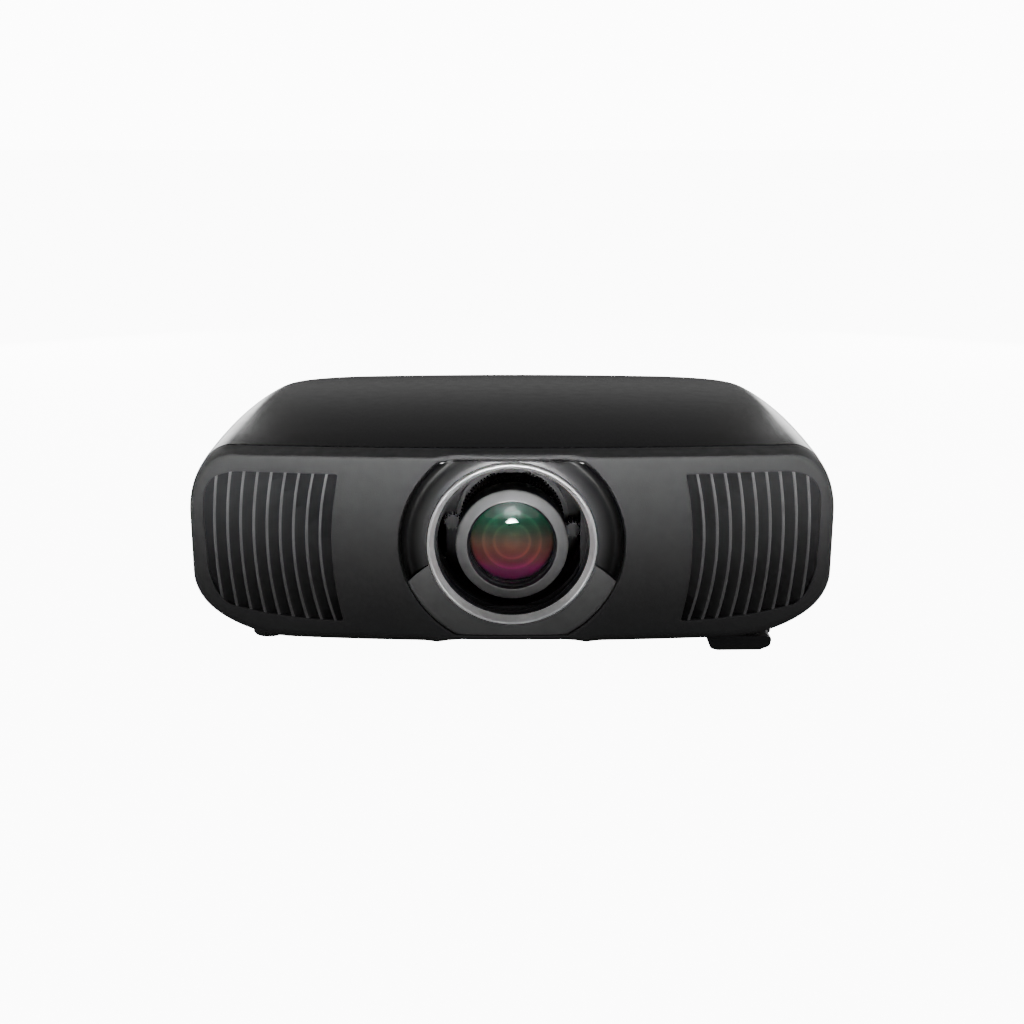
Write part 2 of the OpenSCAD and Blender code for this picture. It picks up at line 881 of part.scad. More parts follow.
module exhaust_fan_frame() fan_frame(-fan_x);

module exhaust_fan_rotor() fan_rotor(-fan_x);

module intake_fan_frame() fan_frame(fan_x);

module intake_fan_rotor() fan_rotor(fan_x);

// ---------------------------------------------------------------- filter

filter_low = [160.5, -191, 12];
filter_high = [194, -88, 23.6];
handle_right = 213.5;

module filter_drawer() {
  lip = 2;
  color("#0e0e10") difference() {
    union() {
      block([filter_low[0], -172, 17.5], filter_high);
      for (s = [0, 1])
        block([s ? filter_high[0] : filter_low[0] - lip, -166, 20],
              [s ? filter_high[0] + lip : filter_low[0], -90, 22]);
      translate([0, -171, 0]) rotate([90, 0, 0]) linear_extrude(height = 20)
        offset(r = 3) offset(r = -3)
          polygon([
            [filter_low[0] - 1, 23.6], [filter_low[0] + 3, 13],
            [filter_low[0] + 9, 11.4], [handle_right - 9, 11.8],
            [handle_right - 1, 15], [handle_right + 1, 23.6]
          ]);
    }
    block([filter_low[0] + 3, -168, 19], [filter_high[0] - 3, -91, 25]);
    for (i = [0:7])
      block([filter_low[0] + 5, -165 + i * 9.3, 16],
            [filter_high[0] - 5, -160 + i * 9.3, 20]);
  }
}

module filter_medium() {
  color("#d7dadb")
    for (i = [0:9])
      block([filter_low[0] + 3.2, -167.6 + i * 7.6, 19.1],
            [filter_high[0] - 3.2, -160.2 + i * 7.6, 23.3 - (i % 2) * 0.8]);
}

module filter_rails() {
  color("#202123")
    for (s = [0, 1])
      let (edge = s ? filter_high[0] + 0.4 : filter_low[0] - 0.4,
           out = s ? 1 : -1) {
        block([min(edge + out * 2.1, edge + out * 5), -168, 17],
              [max(edge + out * 2.1, edge + out * 5), -86, foot_h - 0.1]);
        block([min(edge, edge + out * 5), -168, 17],
              [max(edge, edge + out * 5), -86, 19.6]);
      }
}

// ---------------------------------------------------------------- rear

socket_y = half_d - 14;

// Each socket: x, z, outer width, outer height, hollow width, hollow height
sockets = [
  [62, 112, 17, 8, 14.2, 5.2],
  [36, 112, 17, 8, 14.2, 5.2],
  [6, 113, 16.5, 14.5, 12, 8.5],
  [-24, 112, 15, 8, 12.6, 5.4],
  [-48, 112, 15, 8, 12.6, 5.4],
  [-86, 113, 31, 13, 18, 9]
];
jack_xs = [-116, -132];
inlet_x = 112;
inlet_z = 66;

module rear_panel() {
  color("#1d1e20") difference() {
    block([-158, rear_y - 3, 36], [158, rear_y, 154]);
    for (s = sockets)
      block([s[0] - s[2] / 2 - gap, rear_y - 4, s[1] - s[3] / 2 - gap],
            [s[0] + s[2] / 2 + gap, rear_y + 1, s[1] + s[3] / 2 + gap]);
    for (x = jack_xs)
      on_axis(x, rear_y + 1, 112) cylinder(r = 4.5 + gap, h = 5, $fn = 64);
    block([inlet_x - 16, rear_y - 4, inlet_z - 13],
          [inlet_x + 16, rear_y + 1, inlet_z + 13]);
    for (i = [0:13])
      block([-100 + i * 9, rear_y - 4, 52], [-96 + i * 9, rear_y + 1, 84]);
    for (sx = [-1, 1], sz = [-1, 1])
      on_axis(sx * 144, rear_y + 1, 95 + sz * 46) cylinder(r = 1.7, h = 5, $fn = 48);
    on_axis(118, rear_y + 1, 138) cylinder(r = 6 + gap, h = 5, $fn = 64);
  }
}

module terminal_sockets() {
  color("#a7aaae")
    for (s = sockets)
      difference() {
        block([s[0] - s[2] / 2, socket_y, s[1] - s[3] / 2],
              [s[0] + s[2] / 2, rear_y + 0.8, s[1] + s[3] / 2]);
        block([s[0] - s[4] / 2, socket_y + 1.5, s[1] - s[5] / 2],
              [s[0] + s[4] / 2, rear_y + 2, s[1] + s[5] / 2]);
      }
  color("#c9a94a")
    for (x = jack_xs)
      on_axis(x, rear_y + 0.8, 112) difference() {
        cylinder(r = 4.5, h = 11, $fn = 64);
        translate([0, 0, -1]) cylinder(r = 1.8, h = 10, $fn = 48);
      }
}

module ac_inlet() {
  color("#121214") difference() {
    block([inlet_x - 15.7, rear_y - 22, inlet_z - 12.7],
          [inlet_x + 15.7, rear_y + 0.8, inlet_z + 12.7]);
    block([inlet_x - 12.3, rear_y - 17, inlet_z - 8.2],
          [inlet_x + 12.3, rear_y + 2, inlet_z + 8.2]);
  }
  color("#c8cacd")
    for (i = [-1:1])
      block([inlet_x + i * 7 - 1, rear_y - 17.5, inlet_z - 2 + (i == 0 ? 2.5 : 0)],
            [inlet_x + i * 7 + 1, rear_y - 3, inlet_z + 2 + (i == 0 ? 2.5 : 0)]);
}

// Remote-control receivers, one behind the dish, and the row of status lights
module signal_windows() {
  color("#2c1014") {
    on_axis(118, rear_y + 0.6, 138) cylinder(r = 6, h = 2, $fn = 64);
    on_port() rotate([0, 0, 30]) translate([79, 0, -15])
      cylinder(r = 5, h = 4, $fn = 48);
    for (i = [-1:1])
      block([i * 9 - 4, 203.4, 171], [i * 9 + 4, 210.6, 175.2]);
  }
}

// ---------------------------------------------------------------- controls

keys_y = 76;
keys_z = 120;
button_spots = [[26, 120], [42, 127], [42, 113]];

// Places its children on the control panel, +Z pointing out to the side
module on_controls(y, z) {
  translate([panel_x, y, z]) rotate([0, 90, 0]) children();
}

module control_panel() {
  color("#232426") difference() {
    block([panel_x - 3, 7, 101], [panel_x, 113, 139]);
    for (p = button_spots)
      on_controls(p[0], p[1]) translate([0, 0, -4])
        cylinder(r = button_r + gap, h = 5, $fn = 64);
    on_controls(keys_y, keys_z) translate([0, 0, -4])
      cylinder(r = 14.6, h = 5, $fn = 96);
  }
}

module round_button(y, z) {
  on_controls(y, z) {
    translate([0, 0, -3.4]) cylinder(r = button_r, h = 5.4, $fn = 64);
    translate([0, 0, -5]) cylinder(r = button_r + 1.4, h = 1.6, $fn = 64);
  }
}

module power_button() {
  color("#3a3c3f") round_button(button_spots[0][0], button_spots[0][1]);
}

module menu_button() {
  color("#3a3c3f") round_button(button_spots[1][0], button_spots[1][1]);
}

module escape_button() {
  color("#3a3c3f") round_button(button_spots[2][0], button_spots[2][1]);
}

module direction_pad() {
  color("#34363a") on_controls(keys_y, keys_z) translate([0, 0, -2.6])
    tube(14, 6, 4.2);
}

module enter_button() {
  color("#3a3c3f") on_controls(keys_y, keys_z) translate([0, 0, -5])
    cylinder(r = button_r, h = 7, $fn = 64);
}

// ---------------------------------------------------------------- base

foot_x = 212;
foot_y = -112;

module screw_foot(x) {
  color("#101012") translate([x, foot_y, 0]) {
    cylinder(r = 14.5, h = 6, $fn = 96);
    translate([0, 0, 6]) cylinder(r = 11, h = 7, $fn = 96);
    translate([0, 0, 13]) cylinder(r = 4, h = 27, $fn = 64);
  }
}

module front_left_foot() screw_foot(-foot_x);

module front_right_foot() screw_foot(foot_x);

module rear_feet() {
  color("#101012")
    for (s = [-1, 1])
      translate([s * 150, 120, 0]) {
        cylinder(r = 12, h = 10, $fn = 96);
        translate([0, 0, 10]) cylinder(r = 9, h = foot_h - 10.1, $fn = 96);
      }
}

// Sockets for the screw feet and threaded bosses for a ceiling bracket
module base_bosses() {
  color("#6d7075") {
    for (s = [-1, 1])
      translate([s * foot_x, foot_y, foot_h + 1]) difference() {
        cylinder(r = 9, h = 20, $fn = 64);
        translate([0, 0, -1]) cylinder(r = 4 + run, h = 22, $fn = 64);
      }
    for (sx = [-1, 1], sy = [-1, 1])
      translate([sx * mount_x / 2, 30 + sy * mount_y / 2, foot_h]) difference() {
        cylinder(r = 7, h = 14, $fn = 64);
        translate([0, 0, -1]) cylinder(r = mount_hole_r, h = 13, $fn = 64);
      }
  }
}

module case_screws() {
  color("#8a8d91")
    for (sx = [-1, 1], sz = [-1, 1])
      on_axis(sx * 144, rear_y + 2.2, 95 + sz * 46) {
        cylinder(r = 3, h = 2.1, $fn = 48);
        translate([0, 0, 2.1]) cylinder(r = 1.6, h = 8, $fn = 48);
      }
}

// ---------------------------------------------------------------- drawing

top_cover();
bottom_case();
front_panel();
left_grille();
right_grille();
lens_dish();
chin_trim();
lens_ring();
shutter_door();
shutter_frame();
shutter_motor();
shutter_pinion();
lens_mount();
lift_carriage();
side_carriage();
lift_screw();
side_screw();
lift_motor();
side_motor();
lens_barrel();
front_lens();
focus_ring();
zoom_ring();
zoom_group();
lens_motors();
focus_pinion();
zoom_pinion();
engine_base();
laser_module();
heat_sink();
phosphor_wheel();
condenser_lenses();
color_mirrors();
lcd_panels();
prism();
pixel_shift_plate();
main_board();
power_supply();
exhaust_fan_frame();
exhaust_fan_rotor();
intake_fan_frame();
intake_fan_rotor();
filter_drawer();
filter_medium();
filter_rails();
rear_panel();
terminal_sockets();
ac_inlet();
signal_windows();
control_panel();
power_button();
menu_button();
escape_button();
direction_pad();
enter_button();
front_left_foot();
front_right_foot();
rear_feet();
base_bosses();
case_screws();
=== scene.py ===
import json
import math

import bmesh
import bpy
import numpy as np
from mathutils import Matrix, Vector
from mathutils.geometry import delaunay_2d_cdt


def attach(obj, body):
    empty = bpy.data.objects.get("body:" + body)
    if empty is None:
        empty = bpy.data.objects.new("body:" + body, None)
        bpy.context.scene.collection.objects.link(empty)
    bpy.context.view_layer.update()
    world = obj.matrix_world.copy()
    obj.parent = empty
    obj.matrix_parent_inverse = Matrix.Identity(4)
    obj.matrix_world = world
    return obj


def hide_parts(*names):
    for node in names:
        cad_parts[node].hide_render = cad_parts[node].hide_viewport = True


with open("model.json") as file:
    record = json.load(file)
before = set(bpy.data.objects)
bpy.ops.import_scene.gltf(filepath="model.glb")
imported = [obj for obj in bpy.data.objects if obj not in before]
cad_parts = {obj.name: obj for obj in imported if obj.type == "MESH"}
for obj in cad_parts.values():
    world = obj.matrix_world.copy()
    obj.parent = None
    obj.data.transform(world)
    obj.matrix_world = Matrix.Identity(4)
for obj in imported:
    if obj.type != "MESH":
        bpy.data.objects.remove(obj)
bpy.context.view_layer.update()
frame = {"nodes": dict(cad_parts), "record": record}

MM = 0.001

# ------------------------------------------------------------------ camera

CAM_PITCH = math.radians(14.4)
CAM_DISTANCE = 1.400
CAM_AIM = Vector((0, 0, 0.0801))
cam_data = bpy.data.cameras.new("camera")
cam_data.lens = 52.5
cam_data.sensor_width = 36
cam_data.clip_end = 100
camera = bpy.data.objects.new("camera", cam_data)
camera.location = CAM_AIM + CAM_DISTANCE * Vector(
    (0, -math.cos(CAM_PITCH), math.sin(CAM_PITCH))
)
camera.rotation_euler = (math.pi / 2 - CAM_PITCH, 0, 0)
bpy.context.scene.collection.objects.link(camera)
bpy.context.scene.camera = camera

# ------------------------------------------------------------------ the body's shape, in mm

HALF_W, HALF_D, TOP_Z, BASE_Z = 260.0, 223.5, 193.0, 24.0
# the top line: its crest, its falls to the front and the rear, and its crown from side to side
CREST_Y = -40.0
FALL_FRONT, FALL_REAR, CROWN = 12.1, 18.8, 4.3
FRONT_RUN, REAR_ROLL = 181.0, 8.0
# half-axes of the rounded corners, first in the cross-section and then in plan
SHOULDER_X, SHOULDER_Z, BELLY_X, BELLY_Z = 34.0, 52.0, 50.0, 30.0
BELLY_MORE_X, BELLY_MORE_Z, BELLY_RUN = 30.0, 24.0, 120.0
FRONT_X, FRONT_Y, REAR_X, REAR_Y = 36.0, 40.0, 86.0, 119.0
CORNER_START = 40.5
SIDE_TAPER, TAPER_Y = 15.0, -165.0
# the front face bows and leans, and meets the cover and the lower case at a narrow gap
FACE_TOP = TOP_Z - FALL_FRONT
BOW = 18.0 / (HALF_W - FRONT_X) ** 2
LEAN_ANGLE = math.radians(4.6)
LEAN = math.tan(LEAN_ANGLE)
PANEL_DEPTH, SEAM_GAP, SPLIT_Z = 24.0, 0.4, 100.0
# the lens port: a circle on the face, cut off below and above. A low hood rises over it, and
# the port's top edge follows a share of its rise, PORT_HOOD
PORT_R, PORT_Z = 90.0, 108.0
PORT_Y = -HALF_D + (FACE_TOP - PORT_Z) * LEAN
PORT_LOW, PORT_TOP, CHIN_LOW = 30.6, 176.9, 30.9
HOOD_RISE, HOOD_HALF, HOOD_FADE, PORT_HOOD = 2.4, 60.0, 16.0, 0.9
LENS_Z = 101.3
# where a surface turns in at a seam: (distance to the seam, how far it is set in)
EDGE_ROLL = ((0.0, 1.5), (0.1, 0.7), (0.35, 0.25), (0.8, 0.05), (1.5, 0.0))


def smooth_step(value):
    v = np.clip(value, 0, 1)
    return v * v * (3 - 2 * v)


def fall(across, t):
    """Drop of a quarter ellipse of the given height, t from 0 to 1 along it."""
    return across * (1 - np.sqrt(np.maximum(0, 1 - np.minimum(1, t) ** 2)))


def side_half(y):
    """Half width of the case at its widest height."""
    return (
        HALF_W
        - fall(FRONT_X, np.maximum(0, (-HALF_D + CORNER_START - y) / FRONT_Y))
        - SIDE_TAPER * np.maximum(0, y - TAPER_Y) / (HALF_D - TAPER_Y)
        - fall(REAR_X, np.maximum(0, (y - HALF_D + REAR_Y) / REAR_Y))
    )


def top_line(y):
    """Height of the top along the middle of the case."""
    front = FALL_FRONT * ((CREST_Y - y) / FRONT_RUN) ** 2
    rear = FALL_REAR * ((y - CREST_Y) / (HALF_D - CREST_Y)) ** 2
    roll = fall(REAR_ROLL, np.maximum(0, (y - HALF_D + REAR_ROLL) / REAR_ROLL))
    return TOP_Z - np.where(y < CREST_Y, front, rear) - roll


def belly(y):
    """Half-axes of the lower corner, which is rounder at the front."""
    more = smooth_step((CREST_Y - y) / BELLY_RUN)
    return BELLY_X + BELLY_MORE_X * more, BELLY_Z + BELLY_MORE_Z * more


def section(kind, t, y, inset=0.0):
    """(x, z) of one point of the right half of the cross-section at y, set in by inset.

    kind names a stretch of the outline, and t runs along it: from 0 to 1, or as an angle on
    the belly and the shoulder. low and high are the side below and above the split.
    """
    a = side_half(y) - inset
    rx, rz = SHOULDER_X - inset, SHOULDER_Z - inset
    bx, bz = belly(y)
    bx, bz = bx - inset, bz - inset
    flat = a - rx
    top = top_line(y) - inset
    slope = 2 * CROWN * flat / HALF_W**2
    edge = top - CROWN * (flat / HALF_W) ** 2
    base = BASE_Z + inset
    if kind == "floor":
        return (a - bx) * t, base + 0 * a
    if kind == "belly":
        return a - bx + bx * math.sin(t), base + bz - bz * math.cos(t)
    if kind == "side":
        return a, base + bz + (edge - rz - base - bz) * t
    if kind == "low":
        return a, base + bz + (SPLIT_Z - SEAM_GAP - base - bz) * t
    if kind == "high":
        return a, SPLIT_Z + SEAM_GAP + (edge - rz - SPLIT_Z - SEAM_GAP) * t
    if kind == "shoulder":
        s, c = math.sin(t), math.cos(t)
        return flat + rx * c, edge - rz + rz * s - slope * rx * c * s
    x = flat * (1 - t)
    return x, top - CROWN * (x / HALF_W) ** 2


def spread(kind, low, high, count, last=False):
    """Evenly spaced lines (kind, t, inset) of the cross-section, the last one on request."""
    values = np.linspace(low, high, count + 1)
    return [(kind, float(t), 0.0) for t in (values if last else values[:-1])]


def face_y(x, z):
    """y of the bowed, leaning front face, without its corners."""
    return -HALF_D + BOW * x * x + LEAN * (FACE_TOP - z)


def crossing(kind, t, offset, inset=0.0):
    """y at which a line of the cross-section passes the front surface moved back by offset."""
    low, high = -HALF_D - 5.0, -120.0
    for _halving in range(40):
        mid = (low + high) / 2
        x, z = section(kind, t, mid, inset)
        if mid < face_y(x, z) + offset:
            low = mid
        else:
            high = mid
    return (low + high) / 2


def half_width_at(z, y):
    """Half width of the case at height z and y."""
    a = side_half(y)
    edge = top_line(y) - CROWN * ((a - SHOULDER_X) / HALF_W) ** 2
    bx, bz = belly(y)
    low = np.clip((BASE_Z + bz - z) / bz, 0, 1)
    high = np.clip((z - edge + SHOULDER_Z) / SHOULDER_Z, 0, 1)
    return a - bx * (1 - np.sqrt(1 - low**2)) - SHOULDER_X * (1 - np.sqrt(1 - high**2))


def front_y(x, z, soften=2.0):
    """y of the outside of the front panel, where the face blends into the rounded corners."""
    x = np.asarray(x, float)
    z = np.asarray(z, float)
    low = np.full(np.broadcast(x, z).shape, -222.0)
    high = np.full_like(low, -165.0)
    off_corner = np.abs(x) <= half_width_at(z, low)
    for _halving in range(28):
        mid = (low + high) / 2
        inside = half_width_at(z, mid) < np.abs(x)
        low = np.where(inside, mid, low)
        high = np.where(inside, high, mid)
    side = np.where(off_corner, -400.0, (low + high) / 2)
    face = face_y(x, z)
    return (face + side + np.sqrt((face - side) ** 2 + soften**2)) / 2


def hood(x):
    """How far the panel's top edge rises over the lens port."""
    return HOOD_RISE * smooth_step((HOOD_HALF - abs(x)) / HOOD_FADE)


def port_point(u, v, w):
    """Row-frame point from coordinates on the leaning plane of the port, w to the front."""
    s, c = math.sin(LEAN_ANGLE), math.cos(LEAN_ANGLE)
    return (u, PORT_Y - s * v - c * w, PORT_Z + c * v - s * w)


# ------------------------------------------------------------------ mesh building


def new_object(name, verts, faces, mat, sharp=40, weld=0.002):
    """An object from points in mm, welded, with outward normals and smooth shading."""
    bm = bmesh.new()
    made = [bm.verts.new([c * MM for c in v]) for v in verts]
    for f in faces:
        loop = [made[i] for i in f]
        if len(set(loop)) > 2:
            try:
                bm.faces.new(loop)
            except ValueError:
                pass
    if weld > 0:
        bmesh.ops.remove_doubles(bm, verts=bm.verts, dist=weld * MM)
        bmesh.ops.dissolve_degenerate(bm, edges=bm.edges, dist=weld * MM / 2)
    loose = [v for v in bm.verts if not v.link_faces]
    bmesh.ops.delete(bm, geom=loose, context="VERTS")
    bmesh.ops.recalc_face_normals(bm, faces=bm.faces)
    mesh = bpy.data.meshes.new(name)
    bm.to_mesh(mesh)
    bm.free()
    obj = bpy.data.objects.new(name, mesh)
    bpy.context.scene.collection.objects.link(obj)
    mesh.materials.append(mat)
    shade(obj, sharp)
    return obj


def shade(obj, sharp):
    """Smooth shading, with edges above the sharp angle kept sharp."""
    obj.data.polygons.foreach_set("use_smooth", [True] * len(obj.data.polygons))
    obj.data.set_sharp_from_angle(angle=math.radians(sharp))


def apply_modifiers(obj, sharp=40):
    """Turns the modifiers' result into the object's own mesh."""
    depsgraph = bpy.context.evaluated_depsgraph_get()
    mesh = bpy.data.meshes.new_from_object(obj.evaluated_get(depsgraph))
    old = obj.data
    obj.modifiers.clear()
    obj.data = mesh
    bpy.data.meshes.remove(old)
    mesh.name = obj.name
    shade(obj, sharp)


def thicken(obj, thickness, sharp=40):
    """Gives a sheet a wall thickness in mm, inwards."""
    mod = obj.modifiers.new("thickness", "SOLIDIFY")
    mod.thickness = thickness * MM
    mod.offset = -1
    mod.use_even_offset = False
    apply_modifiers(obj, sharp)


def bevel(obj, width, segments=3, angle=35):
    """Rounds an object's sharp edges with a modifier, width in mm."""
    mod = obj.modifiers.new("soft edges", "BEVEL")
    mod.width = width * MM
    mod.segments = segments
    mod.limit_method = "ANGLE"
    mod.angle_limit = math.radians(angle)
    mod.use_clamp_overlap = True


def cutter_box(low, high):
    """(points, faces) of a box between two corners, for cut()."""
    corners = [(x, y, z) for x in (low[0], high[0])
               for y in (low[1], high[1]) for z in (low[2], high[2])]
    faces = [(0, 1, 3, 2), (4, 6, 7, 5), (0, 4, 5, 1), (2, 3, 7, 6), (0, 2, 6, 4), (1, 5, 7, 3)]
    return corners, faces


def cutter_round(x, y, z, r, height, count=48):
    """(points, faces) of an upright cylinder, for cut()."""
    angles = [k * math.tau / count for k in range(count)]
    ring = [(x + r * math.cos(a), y + r * math.sin(a)) for a in angles]
    verts = [(*p, z) for p in ring] + [(*p, z + height) for p in ring]
    faces = [tuple(reversed(range(count))), tuple(range(count, 2 * count))]
    faces += [(k, (k + 1) % count, count + (k + 1) % count, count + k) for k in range(count)]
    return verts, faces


def cut(obj, shapes, sharp=40):
    """Cuts each shape, a (points, faces) pair in mm, out of obj."""
    cutters = []
    for k, (verts, faces) in enumerate(shapes):
        cutter = new_object(f"cutter{k}", verts, faces, obj.data.materials[0])
        mod = obj.modifiers.new(f"cut{k}", "BOOLEAN")
        mod.operation = "DIFFERENCE"
        mod.solver = "EXACT"
        mod.object = cutter
        cutters.append(cutter)
    apply_modifiers(obj, sharp)
    for cutter in cutters:
        mesh = cutter.data
        bpy.data.objects.remove(cutter)
        bpy.data.meshes.remove(mesh)


def grid_faces(rows, columns, closed_columns=False, start=0):
    """Quads of a grid of points stored row by row; closed_columns joins last to first."""
    faces = []
    last = columns if closed_columns else columns - 1
    for i in range(rows - 1):
        for j in range(last):
            k = (j + 1) % columns
            faces.append((start + i * columns + j, start + i * columns + k,
                          start + (i + 1) * columns + k, start + (i + 1) * columns + j))
    return faces


def lathe(name, profile, place, mat, segments, sharp=35, wave=None):
    """Turns a closed profile of (r, h) points. place(u, v, h) gives the row-frame point.

    wave(r, h, angle), where it is given, is added to the radius.
    """
    verts = []
    for r, h in profile:
        for k in range(segments):
            a = k * math.tau / segments
            rr = r + (wave(r, h, a) if wave else 0.0)
            verts.append(place(rr * math.cos(a), rr * math.sin(a), h))
    n = len(profile)
    faces = []
    for i in range(n):
        j = (i + 1) % n
        for k in range(segments):
            m = (k + 1) % segments
            faces.append((i * segments + k, i * segments + m, j * segments + m, j * segments + k))
    return new_object(name, verts, faces, mat, sharp, weld=0.004)


def rounded(points, radius, steps):
    """A closed outline with its corners rounded."""
    out = []
    n = len(points)
    for i, p in enumerate(points):
        q = np.array(p, float)
        a = np.array(points[i - 1], float) - q
        b = np.array(points[(i + 1) % n], float) - q
        la, lb = np.linalg.norm(a), np.linalg.norm(b)
        d = min(radius, la * 0.45, lb * 0.45)
        a, b = q + a / la * d, q + b / lb * d
        for k in range(steps + 1):
            t = k / steps
            out.append(tuple((1 - t) ** 2 * a + 2 * t * (1 - t) * q + t * t * b))
    return out


def smooth_curve(points, steps):
    """Catmull-Rom curve through (r, h) points."""
    p = [np.array(q, float) for q in [points[0], *points, points[-1]]]
    out = []
    for i in range(1, len(p) - 2):
        for k in range(steps):
            t = k / steps
            out.append(0.5 * (2 * p[i] + (p[i + 1] - p[i - 1]) * t
                              + (2 * p[i - 1] - 5 * p[i] + 4 * p[i + 1] - p[i + 2]) * t * t
                              + (3 * p[i] - p[i - 1] - 3 * p[i + 1] + p[i + 2]) * t**3))
    out.append(p[-1])
    return out


def on_axis_y(x, z):
    """place() for a lathe on an axis along Y, whose h is the row frame's y."""
    return lambda u, v, h: (x + u, h, z + v)


def on_axis_z(x, y):
    """place() for a lathe on an upright axis, whose h is the row frame's z."""
    return lambda u, v, h: (x + u, y + v, h)


def finish_piece(obj, body, slot, *nodes):
    """Puts a piece on its body and hides the CAD nodes that it stands for; slot is not used."""
    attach(obj, body)
    if nodes:
        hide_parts(*nodes)
    return obj


# ------------------------------------------------------------------ materials


def color_ramp(tree, socket, stops, interpolation="LINEAR"):
    """Ramp node through (position, grey level or colour) stops; gives its colour output."""
    node = tree.nodes.new("ShaderNodeValToRGB")
    node.color_ramp.interpolation = interpolation
    elements = node.color_ramp.elements
    while len(elements) < len(stops):
        elements.new(0.5)
    for element, (position, color) in zip(elements, stops):
        element.position = position
        element.color = (*color, 1) if isinstance(color, tuple) else (color, color, color, 1)
    tree.links.new(socket, node.inputs["Fac"])
    return node.outputs["Color"]


def product(tree, one, other):
    """Colour output of two colours multiplied."""
    blend = tree.nodes.new("ShaderNodeMix")
    blend.data_type = "RGBA"
    blend.blend_type = "MULTIPLY"
    blend.inputs[0].default_value = 1.0
    tree.links.new(one, blend.inputs[6])
    tree.links.new(other, blend.inputs[7])
    return blend.outputs[2]


def from_lens_axis(tree, z):
    """Object coordinates from the point (0, 0, z) in mm, and the distance in metres from the
    axis along Y through that point."""
    coords = tree.nodes.new("ShaderNodeTexCoord")
    shift = tree.nodes.new("ShaderNodeVectorMath")
    shift.operation = "SUBTRACT"
    shift.inputs[1].default_value = (0, 0, z * MM)
    tree.links.new(coords.outputs["Object"], shift.inputs[0])
    flat = tree.nodes.new("ShaderNodeVectorMath")
    flat.operation = "MULTIPLY"
    flat.inputs[1].default_value = (1, 0, 1)
    tree.links.new(shift.outputs[0], flat.inputs[0])
    radius = tree.nodes.new("ShaderNodeVectorMath")
    radius.operation = "LENGTH"
    tree.links.new(flat.outputs[0], radius.inputs[0])
    return shift.outputs[0], radius.outputs["Value"]


def from_range(tree, socket, low, high):
    """A length in metres as a number that goes from 0 to 1 between low and high, in mm."""
    reach = tree.nodes.new("ShaderNodeMapRange")
    reach.inputs["From Min"].default_value = low * MM
    reach.inputs["From Max"].default_value = high * MM
    tree.links.new(socket, reach.inputs["Value"])
    return reach.outputs["Result"]


def material(name, base, rough, metallic=0.0, grain=0.0, grain_size=0.8, leather=False,
             vary=0.12, rough_vary=0.06, coat=0.0, coat_rough=0.08, specular=0.5,
             transmission=0.0, ior=1.5, brushed=None):
    """Procedural material: patchy colour and roughness and a fine surface grain, sizes in mm."""
    mat = bpy.data.materials.new(name)
    mat.use_nodes = True
    tree = mat.node_tree
    nodes, links = tree.nodes, tree.links
    shader = nodes["Principled BSDF"]
    shader.inputs["Metallic"].default_value = metallic
    shader.inputs["Specular IOR Level"].default_value = specular
    shader.inputs["Coat Weight"].default_value = coat
    shader.inputs["Coat Roughness"].default_value = coat_rough
    shader.inputs["IOR"].default_value = ior
    shader.inputs["Transmission Weight"].default_value = transmission
    coords = nodes.new("ShaderNodeTexCoord")
    patches = nodes.new("ShaderNodeTexNoise")
    patches.inputs["Scale"].default_value = 28.0
    patches.inputs["Detail"].default_value = 5.0
    patches.inputs["Roughness"].default_value = 0.6
    links.new(coords.outputs["Object"], patches.inputs["Vector"])
    ramp = nodes.new("ShaderNodeValToRGB")
    ramp.color_ramp.elements[0].position = 0.3
    ramp.color_ramp.elements[1].position = 0.7
    ramp.color_ramp.elements[0].color = (*[c * (1 - vary) for c in base], 1)
    ramp.color_ramp.elements[1].color = (*[min(1, c * (1 + vary)) for c in base], 1)
    links.new(patches.outputs["Fac"], ramp.inputs["Fac"])
    links.new(ramp.outputs["Color"], shader.inputs["Base Color"])
    spread_rough = nodes.new("ShaderNodeMapRange")
    spread_rough.inputs["To Min"].default_value = max(0.0, rough - rough_vary)
    spread_rough.inputs["To Max"].default_value = min(1.0, rough + rough_vary)
    spread_rough.inputs["From Min"].default_value = 0.3
    spread_rough.inputs["From Max"].default_value = 0.7
    smudge = nodes.new("ShaderNodeTexNoise")
    smudge.inputs["Scale"].default_value = 95.0
    smudge.inputs["Detail"].default_value = 3.0
    links.new(coords.outputs["Object"], smudge.inputs["Vector"])
    links.new(smudge.outputs["Fac"], spread_rough.inputs["Value"])
    links.new(spread_rough.outputs["Result"], shader.inputs["Roughness"])
    if grain > 0:
        bump = nodes.new("ShaderNodeBump")
        bump.inputs["Strength"].default_value = grain
        bump.inputs["Distance"].default_value = 0.1 * MM
        if leather:
            cells = nodes.new("ShaderNodeTexVoronoi")
            cells.feature = "SMOOTH_F1"
            cells.inputs["Scale"].default_value = 1000.0 / grain_size
            cells.inputs["Randomness"].default_value = 0.9
            height = cells.outputs["Distance"]
        else:
            cells = nodes.new("ShaderNodeTexNoise")
            cells.inputs["Scale"].default_value = 1000.0 / grain_size
            cells.inputs["Detail"].default_value = 3.0
            height = cells.outputs["Fac"]
        if brushed:
            stretch = nodes.new("ShaderNodeMapping")
            stretch.inputs["Scale"].default_value = brushed
            links.new(coords.outputs["Object"], stretch.inputs["Vector"])
            links.new(stretch.outputs["Vector"], cells.inputs["Vector"])
        else:
            links.new(coords.outputs["Object"], cells.inputs["Vector"])
        links.new(height, bump.inputs["Height"])
        links.new(bump.outputs["Normal"], shader.inputs["Normal"])
    return mat


